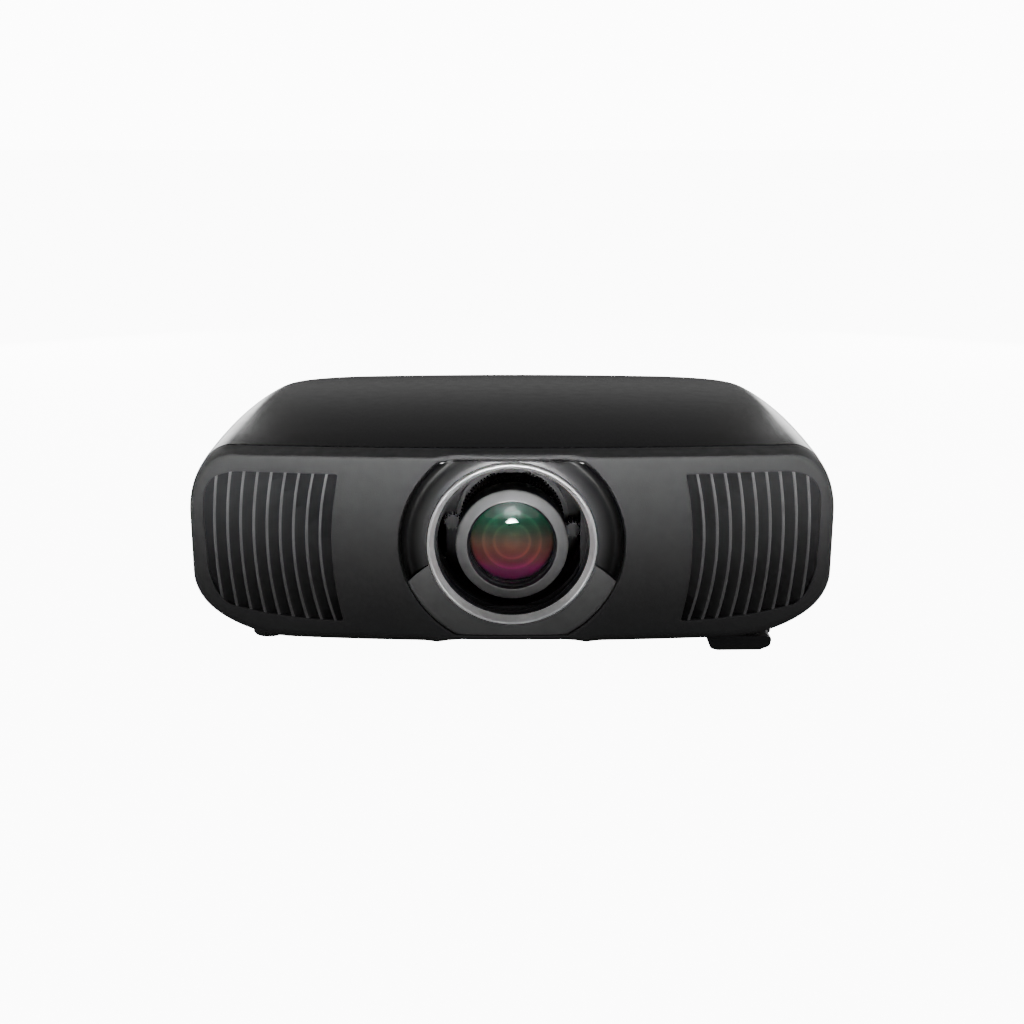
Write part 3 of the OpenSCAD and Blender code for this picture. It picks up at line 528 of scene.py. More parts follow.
M = {
    "cover_black": material(
        "cover satin", (0.009, 0.009, 0.0095), 0.24, grain=0.05, grain_size=0.5, rough_vary=0.02),
    "case_black": material("case black", (0.014, 0.014, 0.015), 0.42, grain=0.35, grain_size=0.7),
    "panel_charcoal": material(
        "panel charcoal", (0.036, 0.036, 0.037), 0.6, grain=0.6, grain_size=0.9, leather=True,
        vary=0.06, specular=0.3),
    "grille_black": material("grille fins", (0.026, 0.026, 0.027), 0.55, grain=0.3, grain_size=0.6),
    "dish_gloss": material("dish gloss", (0.010, 0.010, 0.0105), 0.33, rough_vary=0.02),
    "chin_grey": material("chin satin", (0.13, 0.13, 0.132), 0.45, grain=0.3, grain_size=0.5),
    "ring_chrome": material(
        "satin chrome", (0.90, 0.90, 0.91), 0.34, metallic=0.6, grain=0.15, grain_size=0.4,
        rough_vary=0.04),
    "black_plastic": material(
        "moulded black", (0.010, 0.010, 0.011), 0.4, grain=0.4, grain_size=0.6),
    "motor_steel": material(
        "zinc plate", (0.40, 0.41, 0.42), 0.35, metallic=1.0, grain=0.3, grain_size=0.8),
    "nylon": material("black acetal", (0.014, 0.014, 0.015), 0.4, grain=0.2, grain_size=0.8),
    "cast_metal": material(
        "coated casting", (0.006, 0.006, 0.0065), 0.7, grain=0.8, grain_size=0.9),
    "steel_rod": material(
        "ground steel", (0.55, 0.56, 0.58), 0.22, metallic=1.0, grain=0.2, grain_size=0.3),
    "barrel_black": material(
        "barrel anodised", (0.22, 0.22, 0.222), 0.36, metallic=0.25, grain=0.25, grain_size=0.4),
    "coated_glass": material(
        "coated glass", (0.30, 0.46, 0.46), 0.04, vary=0.05, rough_vary=0.01, specular=0.8,
        transmission=0.6),
    "grip_rubber": material(
        "grip rubber", (0.003, 0.003, 0.003), 0.8, specular=0.15, grain=0.6, grain_size=0.7),
    "laser_brass": material(
        "gold housing", (0.42, 0.30, 0.12), 0.35, metallic=0.9, grain=0.3, grain_size=0.7),
    "fin_aluminium": material(
        "extruded fins", (0.55, 0.56, 0.58), 0.35, metallic=1.0, grain=0.4, grain_size=0.5,
        brushed=(0.1, 1, 1)),
    "phosphor": material("phosphor disc", (0.55, 0.45, 0.06), 0.5, grain=0.3, grain_size=0.5),
    "mirror_glass": material(
        "dichroic mirror", (0.35, 0.45, 0.62), 0.06, metallic=0.9, rough_vary=0.02),
    "panel_glass": material("panel glass", (0.10, 0.08, 0.06), 0.12, coat=0.5),
    "board_green": material(
        "circuit board", (0.02, 0.11, 0.05), 0.4, grain=0.5, grain_size=1.6, coat=0.3),
    "board_tan": material(
        "power board", (0.14, 0.10, 0.04), 0.45, grain=0.5, grain_size=1.6, coat=0.2),
    "filter_felt": material(
        "filter felt", (0.60, 0.62, 0.63), 0.95, grain=1.0, grain_size=1.2, vary=0.18),
    "socket_metal": material(
        "nickel shell", (0.45, 0.46, 0.47), 0.28, metallic=1.0, grain=0.2, grain_size=0.5),
    "window_smoke": material(
        "smoked window", (0.012, 0.003, 0.004), 0.08, coat=0.5, rough_vary=0.02),
    "key_grey": material("key satin", (0.045, 0.045, 0.048), 0.42, grain=0.3, grain_size=0.4),
    "foot_rubber": material("foot rubber", (0.012, 0.012, 0.012), 0.75, grain=0.6, grain_size=0.8),
    "brass_insert": material(
        "brass insert", (0.42, 0.30, 0.12), 0.35, metallic=1.0, grain=0.2, grain_size=0.4),
    "screw_steel": material(
        "black steel", (0.10, 0.10, 0.105), 0.35, metallic=1.0, grain=0.3, grain_size=0.4),
}
LENS_WELL = material("lens well", (0.003, 0.003, 0.0035), 0.5, grain=0.2, grain_size=0.5)
# painted highlight: the louvres' rounded noses get a lighter grey than the fins, in place of the
# light they catch
FIN_NOSE_HIGHLIGHT = material("fin noses painted highlight", (0.11, 0.11, 0.113), 0.4, grain=0.2, grain_size=0.6)
CLEAR_GLASS = material(
    "front element", (0.95, 0.98, 0.97), 0.01, vary=0.01, rough_vary=0.005, specular=0.7,
    transmission=1.0, ior=1.45)


def painted_reflection_by_radius(mat, inner, outer, stops):
    """Painted reflection and shade: the base colour follows the distance from the port's axis, as
    (radius in mm, level) stops.
    """
    tree = mat.node_tree
    _place, radius = from_lens_axis(tree, PORT_Z)
    shares = [((r - inner) / (outer - inner), (level, level, level * 1.03)) for r, level in stops]
    color = color_ramp(tree, from_range(tree, radius, inner, outer), shares)
    tree.links.new(color, tree.nodes["Principled BSDF"].inputs["Base Color"])


# painted reflection: the glossy dish is lighter next to the ring, standing in for a grey reflected
# band, and painted shade darkens it towards the outer wall, with a faint lift at the outer lip
painted_reflection_by_radius(M["dish_gloss"], 60, 95, (
    (67, 0.050), (71, 0.042), (75, 0.022), (79, 0.007), (84, 0.002), (88, 0.002), (90, 0.006),
))
slot_of = {s["node"]: s["material_slot"] for s in frame["record"]["subparts"]}
for node_name, obj in frame["nodes"].items():
    obj.data.materials.clear()
    obj.data.materials.append(M[slot_of[node_name]])

# ------------------------------------------------------------------ top cover and lower case


def stations():
    """Places along the case, closer together round the rear corners and the rear edge."""
    ys = [-150.0, -120.0, -90.0, -60.0, -30.0, 0.0, 30.0, 60.0, 85.0]
    ys += [HALF_D - REAR_Y + REAR_Y * math.sin(math.radians(a)) for a in range(0, 90, 6)]
    ys += [HALF_D - REAR_ROLL + REAR_ROLL * math.sin(math.radians(a)) for a in range(12, 91, 13)]
    ys = sorted(set(ys + [HALF_D]))
    apart = ys[:1]
    for y in ys[1:]:
        if y - apart[-1] > 0.25:
            apart.append(y)
    return apart


def rear_cap(outline):
    """Points and triangles that close the flat rear end inside an outline of (x, z)."""
    low_z = min(p[1] for p in outline) + 4
    high_z = max(p[1] for p in outline) - 6
    inner = [Vector((x, z)) for x in np.arange(-138, 139, 12.0)
             for z in np.arange(low_z, high_z, 12.0)]
    n = len(outline)
    edges = [(i, (i + 1) % n) for i in range(n)]
    out = delaunay_2d_cdt(outline + inner, edges, [], 1, 1e-5)
    return out[0], out[2]


def shell(name, lines, mat):
    """One half of the case: the lines of the right half run along the case and are mirrored."""
    common = stations()
    columns = []
    for kind, t, inset in lines:
        start = crossing(kind, t, PANEL_DEPTH + SEAM_GAP)
        ys = [(start + dy, roll) for dy, roll in EDGE_ROLL]
        first = start + EDGE_ROLL[-1][0]
        ys += [(first + (common[0] - first) * v, 0.0) for v in (0.08, 0.2, 0.36, 0.56, 0.78)]
        ys += [(y, 0.0) for y in common]
        column = []
        for y, roll in ys:
            x, z = section(kind, t, y, inset + roll)
            column.append((float(x), float(y), float(z)))
        columns.append(column)
    mirrored = [[(-x, y, z) for x, y, z in c] for c in reversed(columns)]
    if abs(columns[-1][0][0]) < 1e-6:
        mirrored = mirrored[1:]
    grid = columns + mirrored
    rows, n = len(grid[0]), len(grid)
    verts = [c[i] for i in range(rows) for c in grid]
    faces = grid_faces(rows, n)
    rim = verts[(rows - 1) * n:]
    cap_points, cap_faces = rear_cap([Vector((x, z)) for x, _y, z in rim])
    base = len(verts)
    verts += [(p[0], HALF_D, p[1]) for p in cap_points]
    faces += [tuple(base + i for i in f) for f in cap_faces]
    obj = new_object(name, verts, faces, mat)
    thicken(obj, 2.5)
    return obj


def rolled_lip(kind, height):
    """Lines (kind, t, inset) where a side of about that height turns in at the split."""
    return [(kind, dy / height, inset) for dy, inset in EDGE_ROLL]


REAR_OPENING = cutter_box((-154, HALF_D - 12, 39.7), (154, HALF_D + 5, 150.3))
CONTROL_OPENING = cutter_box((HALF_W - 22, 10, 104), (HALF_W + 5, 110, 136))
SIGNAL_OPENING = cutter_box((-14, 203, 165), (14, 211, 195))
DRAWER_OPENING = cutter_box((163.5, -165, BASE_Z - 5), (191, -95, BASE_Z + 10))
FOOT_X, FOOT_Y = 212, -112
MOUNT_X, MOUNT_Y, MOUNT_SPAN = 100, 30, 80


def top_cover():
    lines = (
        rolled_lip("high", 26.0)
        + spread("high", 0.15, 1, 4)
        + spread("shoulder", 0, math.pi / 2, 22)
        + spread("crown", 0, 1, 26, last=True)
    )
    cover = shell("cover_shell", lines, M["cover_black"])
    cut(cover, [REAR_OPENING, CONTROL_OPENING, SIGNAL_OPENING])
    finish_piece(cover, "case", "cover_black", "top_cover")


def bottom_case():
    """The lines run from the split down and in to the middle of the floor."""
    lip = [(kind, 1 - t, inset) for kind, t, inset in rolled_lip("low", 30.0)]
    outwards = (
        spread("floor", 0, 1, 8)
        + spread("belly", 0, math.pi / 2, 16)
        + spread("low", 0, 0.95, 6)
        + lip[::-1]
    )
    base = shell("base_shell", outwards[::-1], M["case_black"])
    openings = [REAR_OPENING, DRAWER_OPENING]
    for side in (-1, 1):
        openings.append(cutter_round(side * FOOT_X, FOOT_Y, BASE_Z - 5, 9.3, 15))
        for end in (-1, 1):
            openings.append(
                cutter_round(side * MOUNT_X, MOUNT_Y + end * MOUNT_SPAN, BASE_Z - 5, 7.3, 15))
    cut(base, openings)
    finish_piece(base, "case", "case_black", "bottom_case")


top_cover()
bottom_case()

# ------------------------------------------------------------------ front panel


def conic(q, p, s, weight, t):
    """Point at t on the rounding from q to s, whose tangents meet at p."""
    a, b, c = (1 - t) ** 2, 2 * weight * t * (1 - t), t * t
    return (a * q + b * p + c * s) / (a + b + c)


def grow(loop, distance):
    """A closed outline of (x, z) moved outwards."""
    pts = np.array(loop)
    centre = np.mean(pts, axis=0)
    tangent = np.roll(pts, -1, axis=0) - np.roll(pts, 1, axis=0)
    tangent /= np.linalg.norm(tangent, axis=1)[:, None] + 1e-12
    normal = np.stack([tangent[:, 1], -tangent[:, 0]], axis=1)
    if np.sum((pts - centre) * normal) < 0:
        normal = -normal
    return [tuple(np.array(p) + distance * q) for p, q in zip(loop, normal)]


def port_outline(steps=300):
    """Outline of the port's mouth on the face as (x, z), cut off above and below."""
    radius = PORT_R + 0.1
    loop = []
    for k in range(steps):
        a = k * math.tau / steps
        x = radius * math.cos(a)
        top = PORT_TOP + PORT_HOOD * hood(x)
        z = PORT_Z + radius * math.cos(LEAN_ANGLE) * math.sin(a)
        loop.append((x, float(min(max(z, PORT_LOW), top))))
    return loop


def grille_outline(side):
    """Outline of a grille's mouth as (x, z): an arc beside the port and a rounded outer end."""
    arc = [(-144 + 283 * (1 - math.cos(math.radians(a))), 103.5 + 271.7 * math.sin(math.radians(a)))
           for a in np.linspace(-13.2, 13.2, 25)]
    corners = arc + [(-222, 166), (-238, 160.5), (-245.5, 149), (-247.4, 130), (-246.4, 80),
                     (-241, 63), (-232, 52.5), (-200, 46), (-165, 42.5)]
    loop = rounded(corners, 8, 5)
    return [(-x * side, z) for x, z in loop]


def inside(points, loop):
    """Which of the points lie inside a closed loop, both as (x, z)."""
    px, pz = points[:, 0], points[:, 1]
    result = np.zeros(len(points), bool)
    pts = np.array(loop)
    nxt = np.roll(pts, -1, axis=0)
    for (x1, z1), (x2, z2) in zip(pts, nxt):
        crosses = (z1 > pz) != (z2 > pz)
        if z1 != z2:
            result ^= crosses & (px < (x2 - x1) * (pz - z1) / (z2 - z1) + x1)
    return result


def distance_to(points, loop):
    """Distance of each point to the nearest corner of a loop."""
    pts = np.array(loop)
    return np.min(np.linalg.norm(points[:, None, :] - pts[None, :, :], axis=2), axis=1)


FILLET_STEPS, BAND_STEPS = 9, 8
TOP_FILLET, SIDE_FILLET, LOW_FILLET, MIDDLE_FILLET = 2.3, 4.0, 9.0, 3.6


def fillet_reach(p, into):
    """How far the rounding at a point of the face's edge reaches, from where the edge faces."""
    reach = TOP_FILLET
    if p[2] < SPLIT_Z:
        middle = float(smooth_step((72 - p[0]) / 16))
        reach = LOW_FILLET * (1 - middle) + MIDDLE_FILLET * middle
    sideways = float(smooth_step((abs(into[0]) / math.hypot(into[0], into[2]) - 0.3) / 0.6))
    return reach * (1 - sideways) + SIDE_FILLET * sideways


def rim_column(kind, t, p, tangent):
    """Points from the face over its rounded edge at p, then back along the case to the seam."""
    normal = np.array([2 * BOW * p[0], -1.0, -LEAN])
    normal /= np.linalg.norm(normal)
    into = np.cross(normal, tangent)
    centre = np.array([0, face_y(0, 105), 105.0])
    into *= math.copysign(1, into @ (centre - p))
    ahead = np.array(section(kind, t, p[1] + 0.05), float)
    back = np.array([ahead[0] - p[0], 0.05, ahead[1] - p[2]])
    back /= np.linalg.norm(back)
    reach = fillet_reach(p, into)
    on_face = p + into * reach
    on_face[1] = front_y(on_face[0], on_face[2])
    y = p[1] + back[1] * reach
    x, z = section(kind, t, y)
    on_side = np.array([x, y, z], float)
    weight = math.sin(math.acos(float(np.clip(into @ back, -1, 1))) / 2)
    column = [conic(on_face, p, on_side, weight, i / FILLET_STEPS)
              for i in range(FILLET_STEPS + 1)]
    seam = crossing(kind, t, PANEL_DEPTH)
    last = column[-1][1]
    stop = seam - EDGE_ROLL[-1][0]
    for i in range(1, BAND_STEPS + 1):
        y = last + (stop - last) * i / BAND_STEPS
        x, z = section(kind, t, y)
        column.append(np.array([x, y, z], float))
    for dy, roll in reversed(EDGE_ROLL[:-1]):
        x, z = section(kind, t, seam - dy, roll)
        column.append(np.array([x, seam - dy, z], float))
    # the edge rises over the port and under the chin, and the rise fades out towards the seam
    if p[2] < SPLIT_Z:
        rise, fade_steps = HOOD_RISE * float(smooth_step((HOOD_HALF - p[0]) / 14)), BAND_STEPS
    else:
        rise, fade_steps = float(hood(p[0])), BAND_STEPS + 1
    for i, point in enumerate(column):
        point[2] += rise * (1 - smooth_step((i - FILLET_STEPS) / fade_steps))
    return column


def panel_rim():
    """Columns of points all the way round the panel's edge."""
    lines = (
        spread("floor", 0, 1, 20)
        + spread("belly", 0, math.pi / 2, 22)
        + spread("side", 0, 1, 16)
        + spread("shoulder", 0, math.pi / 2, 28)
        + spread("crown", 0, 1, 48, last=True)
    )
    edge = []
    for kind, t, _inset in lines:
        y = crossing(kind, t, 0.0)
        x, z = section(kind, t, y)
        edge.append((float(x), float(y), float(z)))
    right = np.array(edge)
    ring = np.vstack([right, (right * (-1, 1, 1))[-2:0:-1]])
    tangent = np.roll(ring, -1, axis=0) - np.roll(ring, 1, axis=0)
    tangent /= np.linalg.norm(tangent, axis=1)[:, None]
    columns = [rim_column(kind, t, ring[k], tangent[k]) for k, (kind, t, _inset) in enumerate(lines)]
    return columns + [[point * (-1, 1, 1) for point in c] for c in columns[-2:0:-1]]


def face_triangles(outer, mouths):
    """Triangles of the face between its edge and its mouths, all as (x, z)."""
    spacing = 5.0
    gx, gz = np.meshgrid(np.arange(-252, 253, spacing), np.arange(28, 182, spacing))
    inner = np.stack([gx.ravel(), gz.ravel()], axis=1)
    odd_row = np.round((inner[:, 1] - 28) / spacing).astype(int) % 2
    inner[:, 0] += odd_row * spacing / 2
    keep = inside(inner, outer) & (distance_to(inner, outer) > 2.6)
    for loop in mouths:
        keep &= ~inside(inner, loop) & (distance_to(inner, loop) > 2.2)
    points, edges = [], []
    for loop in [outer, *mouths]:
        first = len(points)
        points += [Vector(p) for p in loop]
        edges += [(first + i, first + (i + 1) % len(loop)) for i in range(len(loop))]
    points += [Vector(p) for p in inner[keep]]
    out = delaunay_2d_cdt(points, edges, [], 1, 1e-4)
    flat = np.array([tuple(p) for p in out[0]])
    middles = np.array([flat[list(f)].mean(axis=0) for f in out[2]])
    kept = np.ones(len(middles), bool)
    for loop in mouths:
        kept &= ~inside(middles, loop)
    return flat, [f for f, k in zip(out[2], kept) if k]


def mouth_rows(loop, wide, lip, back):
    """Rows of points round a mouth: a rounded lip from wide to loop, then straight back."""
    on_face = np.array([(x, float(front_y(x, z)), z) for x, z in wide])
    corner = np.array([(x, float(front_y(x, z)), z) for x, z in loop])
    rows = [conic(on_face, corner, corner + back * lip, math.sqrt(0.5), i / 5) for i in range(6)]
    return rows + [corner + back * depth for depth in (3.0, 6.0, 9.0)]


def front_panel():
    grid = panel_rim()
    rows, n = len(grid[0]), len(grid)
    verts = [tuple(c[i]) for i in range(rows) for c in grid]
    faces = grid_faces(rows, n, closed_columns=True)

    lip = 0.9
    outer = [(x, z) for x, _y, z in verts[:n]]
    mouths = [port_outline(), grille_outline(-1), grille_outline(1)]
    grown = [grow(loop, lip) for loop in mouths]
    flat, triangles = face_triangles(outer, grown)
    ring = np.array(outer)
    start = len(verts)
    for (x, z), y in zip(flat, front_y(flat[:, 0], flat[:, 1])):
        near = np.argmin(np.hypot(ring[:, 0] - x, ring[:, 1] - z))
        if math.hypot(ring[near, 0] - x, ring[near, 1] - z) < 0.01:
            y = verts[near][1]
            x, z = ring[near]
        verts.append((float(x), float(y), float(z)))
    faces += [tuple(start + i for i in f) for f in triangles]

    port_back = np.array([0, math.cos(LEAN_ANGLE), math.sin(LEAN_ANGLE)])
    straight_back = np.array([0, 1.0, 0])
    for loop, wide, back in zip(mouths, grown, (port_back, straight_back, straight_back)):
        lip_rows = mouth_rows(loop, wide, lip, back)
        first = len(verts)
        verts += [tuple(v) for row in lip_rows for v in row]
        faces += grid_faces(len(lip_rows), len(loop), closed_columns=True, start=first)
    obj = new_object("face_panel", verts, faces, M["panel_charcoal"], sharp=50, weld=0.02)
    thicken(obj, 1.8, sharp=50)
    finish_piece(obj, "case", "panel_charcoal", "front_panel")


front_panel()

# ------------------------------------------------------------------ grilles


# a louvre's cross-section in mm: (towards the port, backwards) from its nose
BLADE = [(10.6, 8.6), (9.4, 9.8), (0.2, 2.2), (-0.9, 1.3), (-1.15, 0.6), (-0.9, 0.12),
         (-0.3, 0.0), (0.5, 0.1), (0.95, 0.45), (1.05, 1.0)]
NOSE = range(3, 9)
FIN_COUNT, FIN_STEPS = 10, 40
FIN_X, FIN_PITCH = 153.2, 10.75
FIN_MID_Z, FIN_HALF = 105.0, 61.0


def fin_x(index, z):
    """x of a louvre's nose at height z; it bows away from the port at its middle."""
    sag = 8.1 - 0.35 * index if z > FIN_MID_Z else 9.3 - 0.6 * index
    return FIN_X + FIN_PITCH * index - sag * ((z - FIN_MID_Z) / FIN_HALF) ** 2


def fin_end(index, side, sign, loop):
    """Height at which a louvre has left the grille's mouth, above or below."""
    z = FIN_MID_Z
    widths = (0, 4.5, 9)
    while any(inside(np.array([(side * (fin_x(index, z) - d), z)]), loop)[0] for d in widths):
        z += 0.4 * sign
    return z + 0.8 * sign


def grille(name, side, node):
    """Upright louvres that bow towards the side; each slants back behind its inner neighbour."""
    loop = grille_outline(side)
    n = len(BLADE)
    verts, faces = [], []
    nose_faces = []
    for index in range(FIN_COUNT):
        top, low = (fin_end(index, side, sign, loop) for sign in (1, -1))
        first = len(verts)
        for k in range(FIN_STEPS + 1):
            z = low + (top - low) * k / FIN_STEPS
            x = fin_x(index, z)
            y = float(front_y(side * min(x, 247), z)) + 0.8
            turn = 2 * BOW * x
            for dx, dy in BLADE:
                verts.append((side * (x - dx), y + dy + turn * -dx, z))
        for k in range(FIN_STEPS):
            for j in range(n):
                if j in NOSE:
                    nose_faces.append(len(faces))
                a, b = first + k * n, first + (k + 1) * n
                faces.append((a + j, a + (j + 1) % n, b + (j + 1) % n, b + j))
        faces.append(tuple(first + j for j in reversed(range(n))))
        faces.append(tuple(first + FIN_STEPS * n + j for j in range(n)))
    obj = new_object(name, verts, faces, M["grille_black"], sharp=45, weld=0)
    # the nose faces take the lighter painted-highlight material
    obj.data.materials.append(FIN_NOSE_HIGHLIGHT)
    for k in nose_faces:
        obj.data.polygons[k].material_index = 1
    finish_piece(obj, "case", "grille_black", node)


grille("grille_fins_left", -1, "left_grille")
grille("grille_fins_right", 1, "right_grille")

# ------------------------------------------------------------------ dish, chin and ring


def chin_angle(r):
    """Angle below the horizontal of the joint between dish and chin, wider at the outer rim."""
    return math.radians(14.0 + 7.0 * (r - 67.8) / 22.2)


def polar_piece(name, profile, low_angle, high_angle, clip, mat, segments=220):
    """Sheet turned through an arc: its ends follow the radius, its height limits follow x."""
    verts = []
    rows = len(profile)
    for k in range(segments + 1):
        u = k / segments
        for r, h in profile:
            a = low_angle(r) + (high_angle(r) - low_angle(r)) * u
            x = r * math.cos(a)
            low, high = clip(x)
            verts.append(port_point(x, min(max(r * math.sin(a), low), high), h))
    faces = grid_faces(segments + 1, rows)
    obj = new_object(name, verts, faces, mat, sharp=30, weld=0.01)
    thicken(obj, 1.2, sharp=30)
    return obj


dish_profile = smooth_curve([
    (67.9, -6.4), (68.2, -3.6), (70.0, -3.7), (72.5, -4.5), (75.5, -5.9), (79, -7.6),
    (82.5, -8.6), (85.4, -7.9), (87.6, -5.7), (88.9, -3.4), (89.5, -2.2), (89.8, -2.6), (89.85, -4.6),
], 5)
dish = polar_piece(
    "dish_bowl", dish_profile,
    lambda r: -chin_angle(r) + 0.006, lambda r: math.pi + chin_angle(r) - 0.006,
    lambda x: (-PORT_R, PORT_TOP - PORT_Z - 0.7 + PORT_HOOD * float(hood(x))), M["dish_gloss"],
)
finish_piece(dish, "case", "dish_gloss", "lens_dish")

chin_profile = smooth_curve([
    (67.9, -3.4), (67.95, -1.3), (68.6, -0.9), (72, -1.0), (78, -1.4), (84, -2.1), (87.6, -2.9),
    (89.0, -3.6), (89.5, -4.6), (89.6, -6.5),
], 5)
chin = polar_piece(
    "chin_shell", chin_profile,
    lambda r: math.pi + chin_angle(r), lambda r: math.tau - chin_angle(r),
    lambda x: (CHIN_LOW - PORT_Z, PORT_R), M["chin_grey"],
)
finish_piece(chin, "case", "chin_grey", "chin_trim")

ring_profile = [
    (62.0, -7.5), (62.0, -6.9), (62.5, -6.1), (65.0, -0.9), (65.35, -0.2), (65.8, 0.15),
    (66.3, 0.3), (66.8, 0.25), (67.2, 0.0), (67.45, -0.5), (67.5, -1.2), (67.5, -7.5),
]
ring = lathe("bright_ring", ring_profile, port_point, M["ring_chrome"], segments=256, sharp=50)
finish_piece(ring, "case", "ring_chrome", "lens_ring")

# ------------------------------------------------------------------ lens

# radii of the barrel's dark inside and of the element behind the front glass, which carries the
# painted coating reflections; the barrel is dark behind NOSE_BACK_Y too
WELL_R, STACK_R = 36.5, 34.0
NOSE_BACK_Y = -188.0
barrel_profile = rounded([
    (38, -105.5), (49, -105.5), (49, -109), (38, -109), (38, -160), (45.7, -160), (45.7, -189.2),
    (44.9, -190.2), (37.4, -193.2), (36.6, -192.9), (36.4, -186.4), (35.0, -185.8),
    (34.4, -184.9), (34.4, -171), (34.6, -170.6), (34.6, -109), (26, -108), (26, -56), (30, -56),
    (30, -105.5),
], 0.5, 3)
barrel = lathe("barrel_body", barrel_profile, on_axis_y(0, LENS_Z), M["barrel_black"],
               segments=192)
barrel.data.materials.append(LENS_WELL)
for face in barrel.data.polygons:
    radius = math.hypot(face.center.x, face.center.z - LENS_Z * MM)
    if radius < WELL_R * MM or face.center.y > NOSE_BACK_Y * MM:
        face.material_index = 1
finish_piece(barrel, "lens", "barrel_black", "lens_barrel")


def painted_lens_reflections():
    """Painted reflections of the lens coatings: green above, red and magenta below, bright painted
    rings and a bright painted highlight at the centre, and painted shade at the rim.
    """
    mat = material("lens painted reflections", (0.1, 0.1, 0.1), 0.16, rough_vary=0.02, coat=0.6, coat_rough=0.04)
    tree = mat.node_tree
    place, radius = from_lens_axis(tree, LENS_Z)
    axes = tree.nodes.new("ShaderNodeSeparateXYZ")
    tree.links.new(place, axes.inputs[0])
    # painted reflection: the coating colours that reflected light shows, green above and red and
    # magenta below
    painted_tint = color_ramp(tree, from_range(tree, axes.outputs["Z"], -STACK_R, STACK_R), (
        (0.0, (0.45, 0.02, 0.20)), (0.16, (0.95, 0.06, 0.42)), (0.24, (0.85, 0.14, 0.20)),
        (0.40, (0.75, 0.25, 0.18)), (0.52, (0.45, 0.27, 0.18)), (0.62, (0.16, 0.28, 0.16)),
        (0.78, (0.05, 0.50, 0.30)), (0.92, (0.04, 0.30, 0.22)), (1.0, (0.02, 0.08, 0.07)),
    ), "B_SPLINE")
    # painted highlights: a bright centre and bright rings, and painted shade darkening the rim
    painted_rings = color_ramp(tree, from_range(tree, radius, 0, STACK_R), (
        (0.0, (1.6, 1.5, 1.4)), (0.16, 0.9), (0.38, 0.75), (0.42, 1.3), (0.46, 0.6),
        (0.62, 0.8), (0.68, 1.1), (0.72, 0.55), (0.92, 0.8), (1.0, 0.05),
    ), "B_SPLINE")
    color = product(tree, painted_tint, painted_rings)
    tree.links.new(color, tree.nodes["Principled BSDF"].inputs["Base Color"])
    return mat


def dome(rim_y, rise, radius, back_y, steps=12):
    """Closed (r, y) profile of a round glass whose front bulges by rise."""
    front = [(radius * k / steps, rim_y - rise * (1 - (k / steps) ** 2)) for k in range(steps + 1)]
    front[0] = (0.02, front[0][1])
    return front + [(radius, back_y), (0.02, back_y)]


glass = lathe("front_element", dome(-182, 5, 34.2, -180.6), on_axis_y(0, LENS_Z), CLEAR_GLASS,
              segments=128, sharp=60)
finish_piece(glass, "lens", "coated_glass", "front_lens")
# the second element's colours are painted reflections and highlights of the coatings
second = lathe("second_element", dome(-171.5, 6.5, STACK_R, -166), on_axis_y(0, LENS_Z),
               painted_lens_reflections(), segments=128, sharp=60)
finish_piece(second, "lens", "coated_glass")

# ------------------------------------------------------------------ feet


def grip(r, h, angle):
    """Finger grooves round the wide part of a screw foot."""
    grooves, depth = 36, 0.7
    if r > 9 and 1.75 < h < 6.0:
        return depth * (0.5 * math.cos(grooves * angle) - 0.5)
    return 0.0


foot_profile = rounded([
    (0.05, 0.0), (12.6, 0.0), (13.4, 0.6), (13.4, 1.6), (14.5, 1.8), (14.5, 5.9), (13.6, 6.2),
    (10.8, 6.4), (10.8, 12.8), (4.0, 12.9), (4.0, 39.8), (0.05, 39.8),
], 0.4, 3)
for side, hand in ((-1, "left"), (1, "right")):
    foot = lathe(f"foot_{hand}", foot_profile, on_axis_z(side * FOOT_X, FOOT_Y), M["foot_rubber"],
                 segments=144, wave=grip)
    finish_piece(foot, f"{hand}_foot", "foot_rubber", f"front_{hand}_foot")

rear_profile = rounded([
    (0.05, 0.0), (10.8, 0.0), (12.0, 1.6), (12.0, 9.4), (11.4, 10.0), (9.0, 10.1), (9.0, 23.8),
    (0.05, 23.8),
], 0.4, 3)
# the two rear feet share one CAD node, so the first piece stands for it
for k, (side, nodes) in enumerate(((-1, ["rear_feet"]), (1, []))):
    foot = lathe(f"rear_foot{k}", rear_profile, on_axis_z(side * 150, 120), M["foot_rubber"],
                 segments=96)
    finish_piece(foot, "case", "foot_rubber", *nodes)

# ------------------------------------------------------------------ softened edges on CAD nodes

for node_name, width in (
    ("filter_drawer", 0.7), ("rear_panel", 0.5), ("ac_inlet", 0.6), ("terminal_sockets", 0.35),
    ("control_panel", 0.6), ("power_button", 0.6), ("menu_button", 0.6), ("escape_button", 0.6),
    ("direction_pad", 0.7), ("enter_button", 0.6), ("shutter_door", 0.45), ("signal_windows", 0.3),
    ("case_screws", 0.3),
):
    bevel(frame["nodes"][node_name], width)

# ------------------------------------------------------------------ floor and light


def camera_switch(tree, seen, unseen):
    """Gives one value to what the camera sees directly and another to light and reflections."""
    path = tree.nodes.new("ShaderNodeLightPath")
    mix = tree.nodes.new("ShaderNodeMix")
    mix.data_type = "RGBA"
    mix.inputs[6].default_value = (unseen, unseen, unseen, 1)
    mix.inputs[7].default_value = (seen, seen, seen, 1)
    tree.links.new(path.outputs["Is Camera Ray"], mix.inputs[0])
    return mix


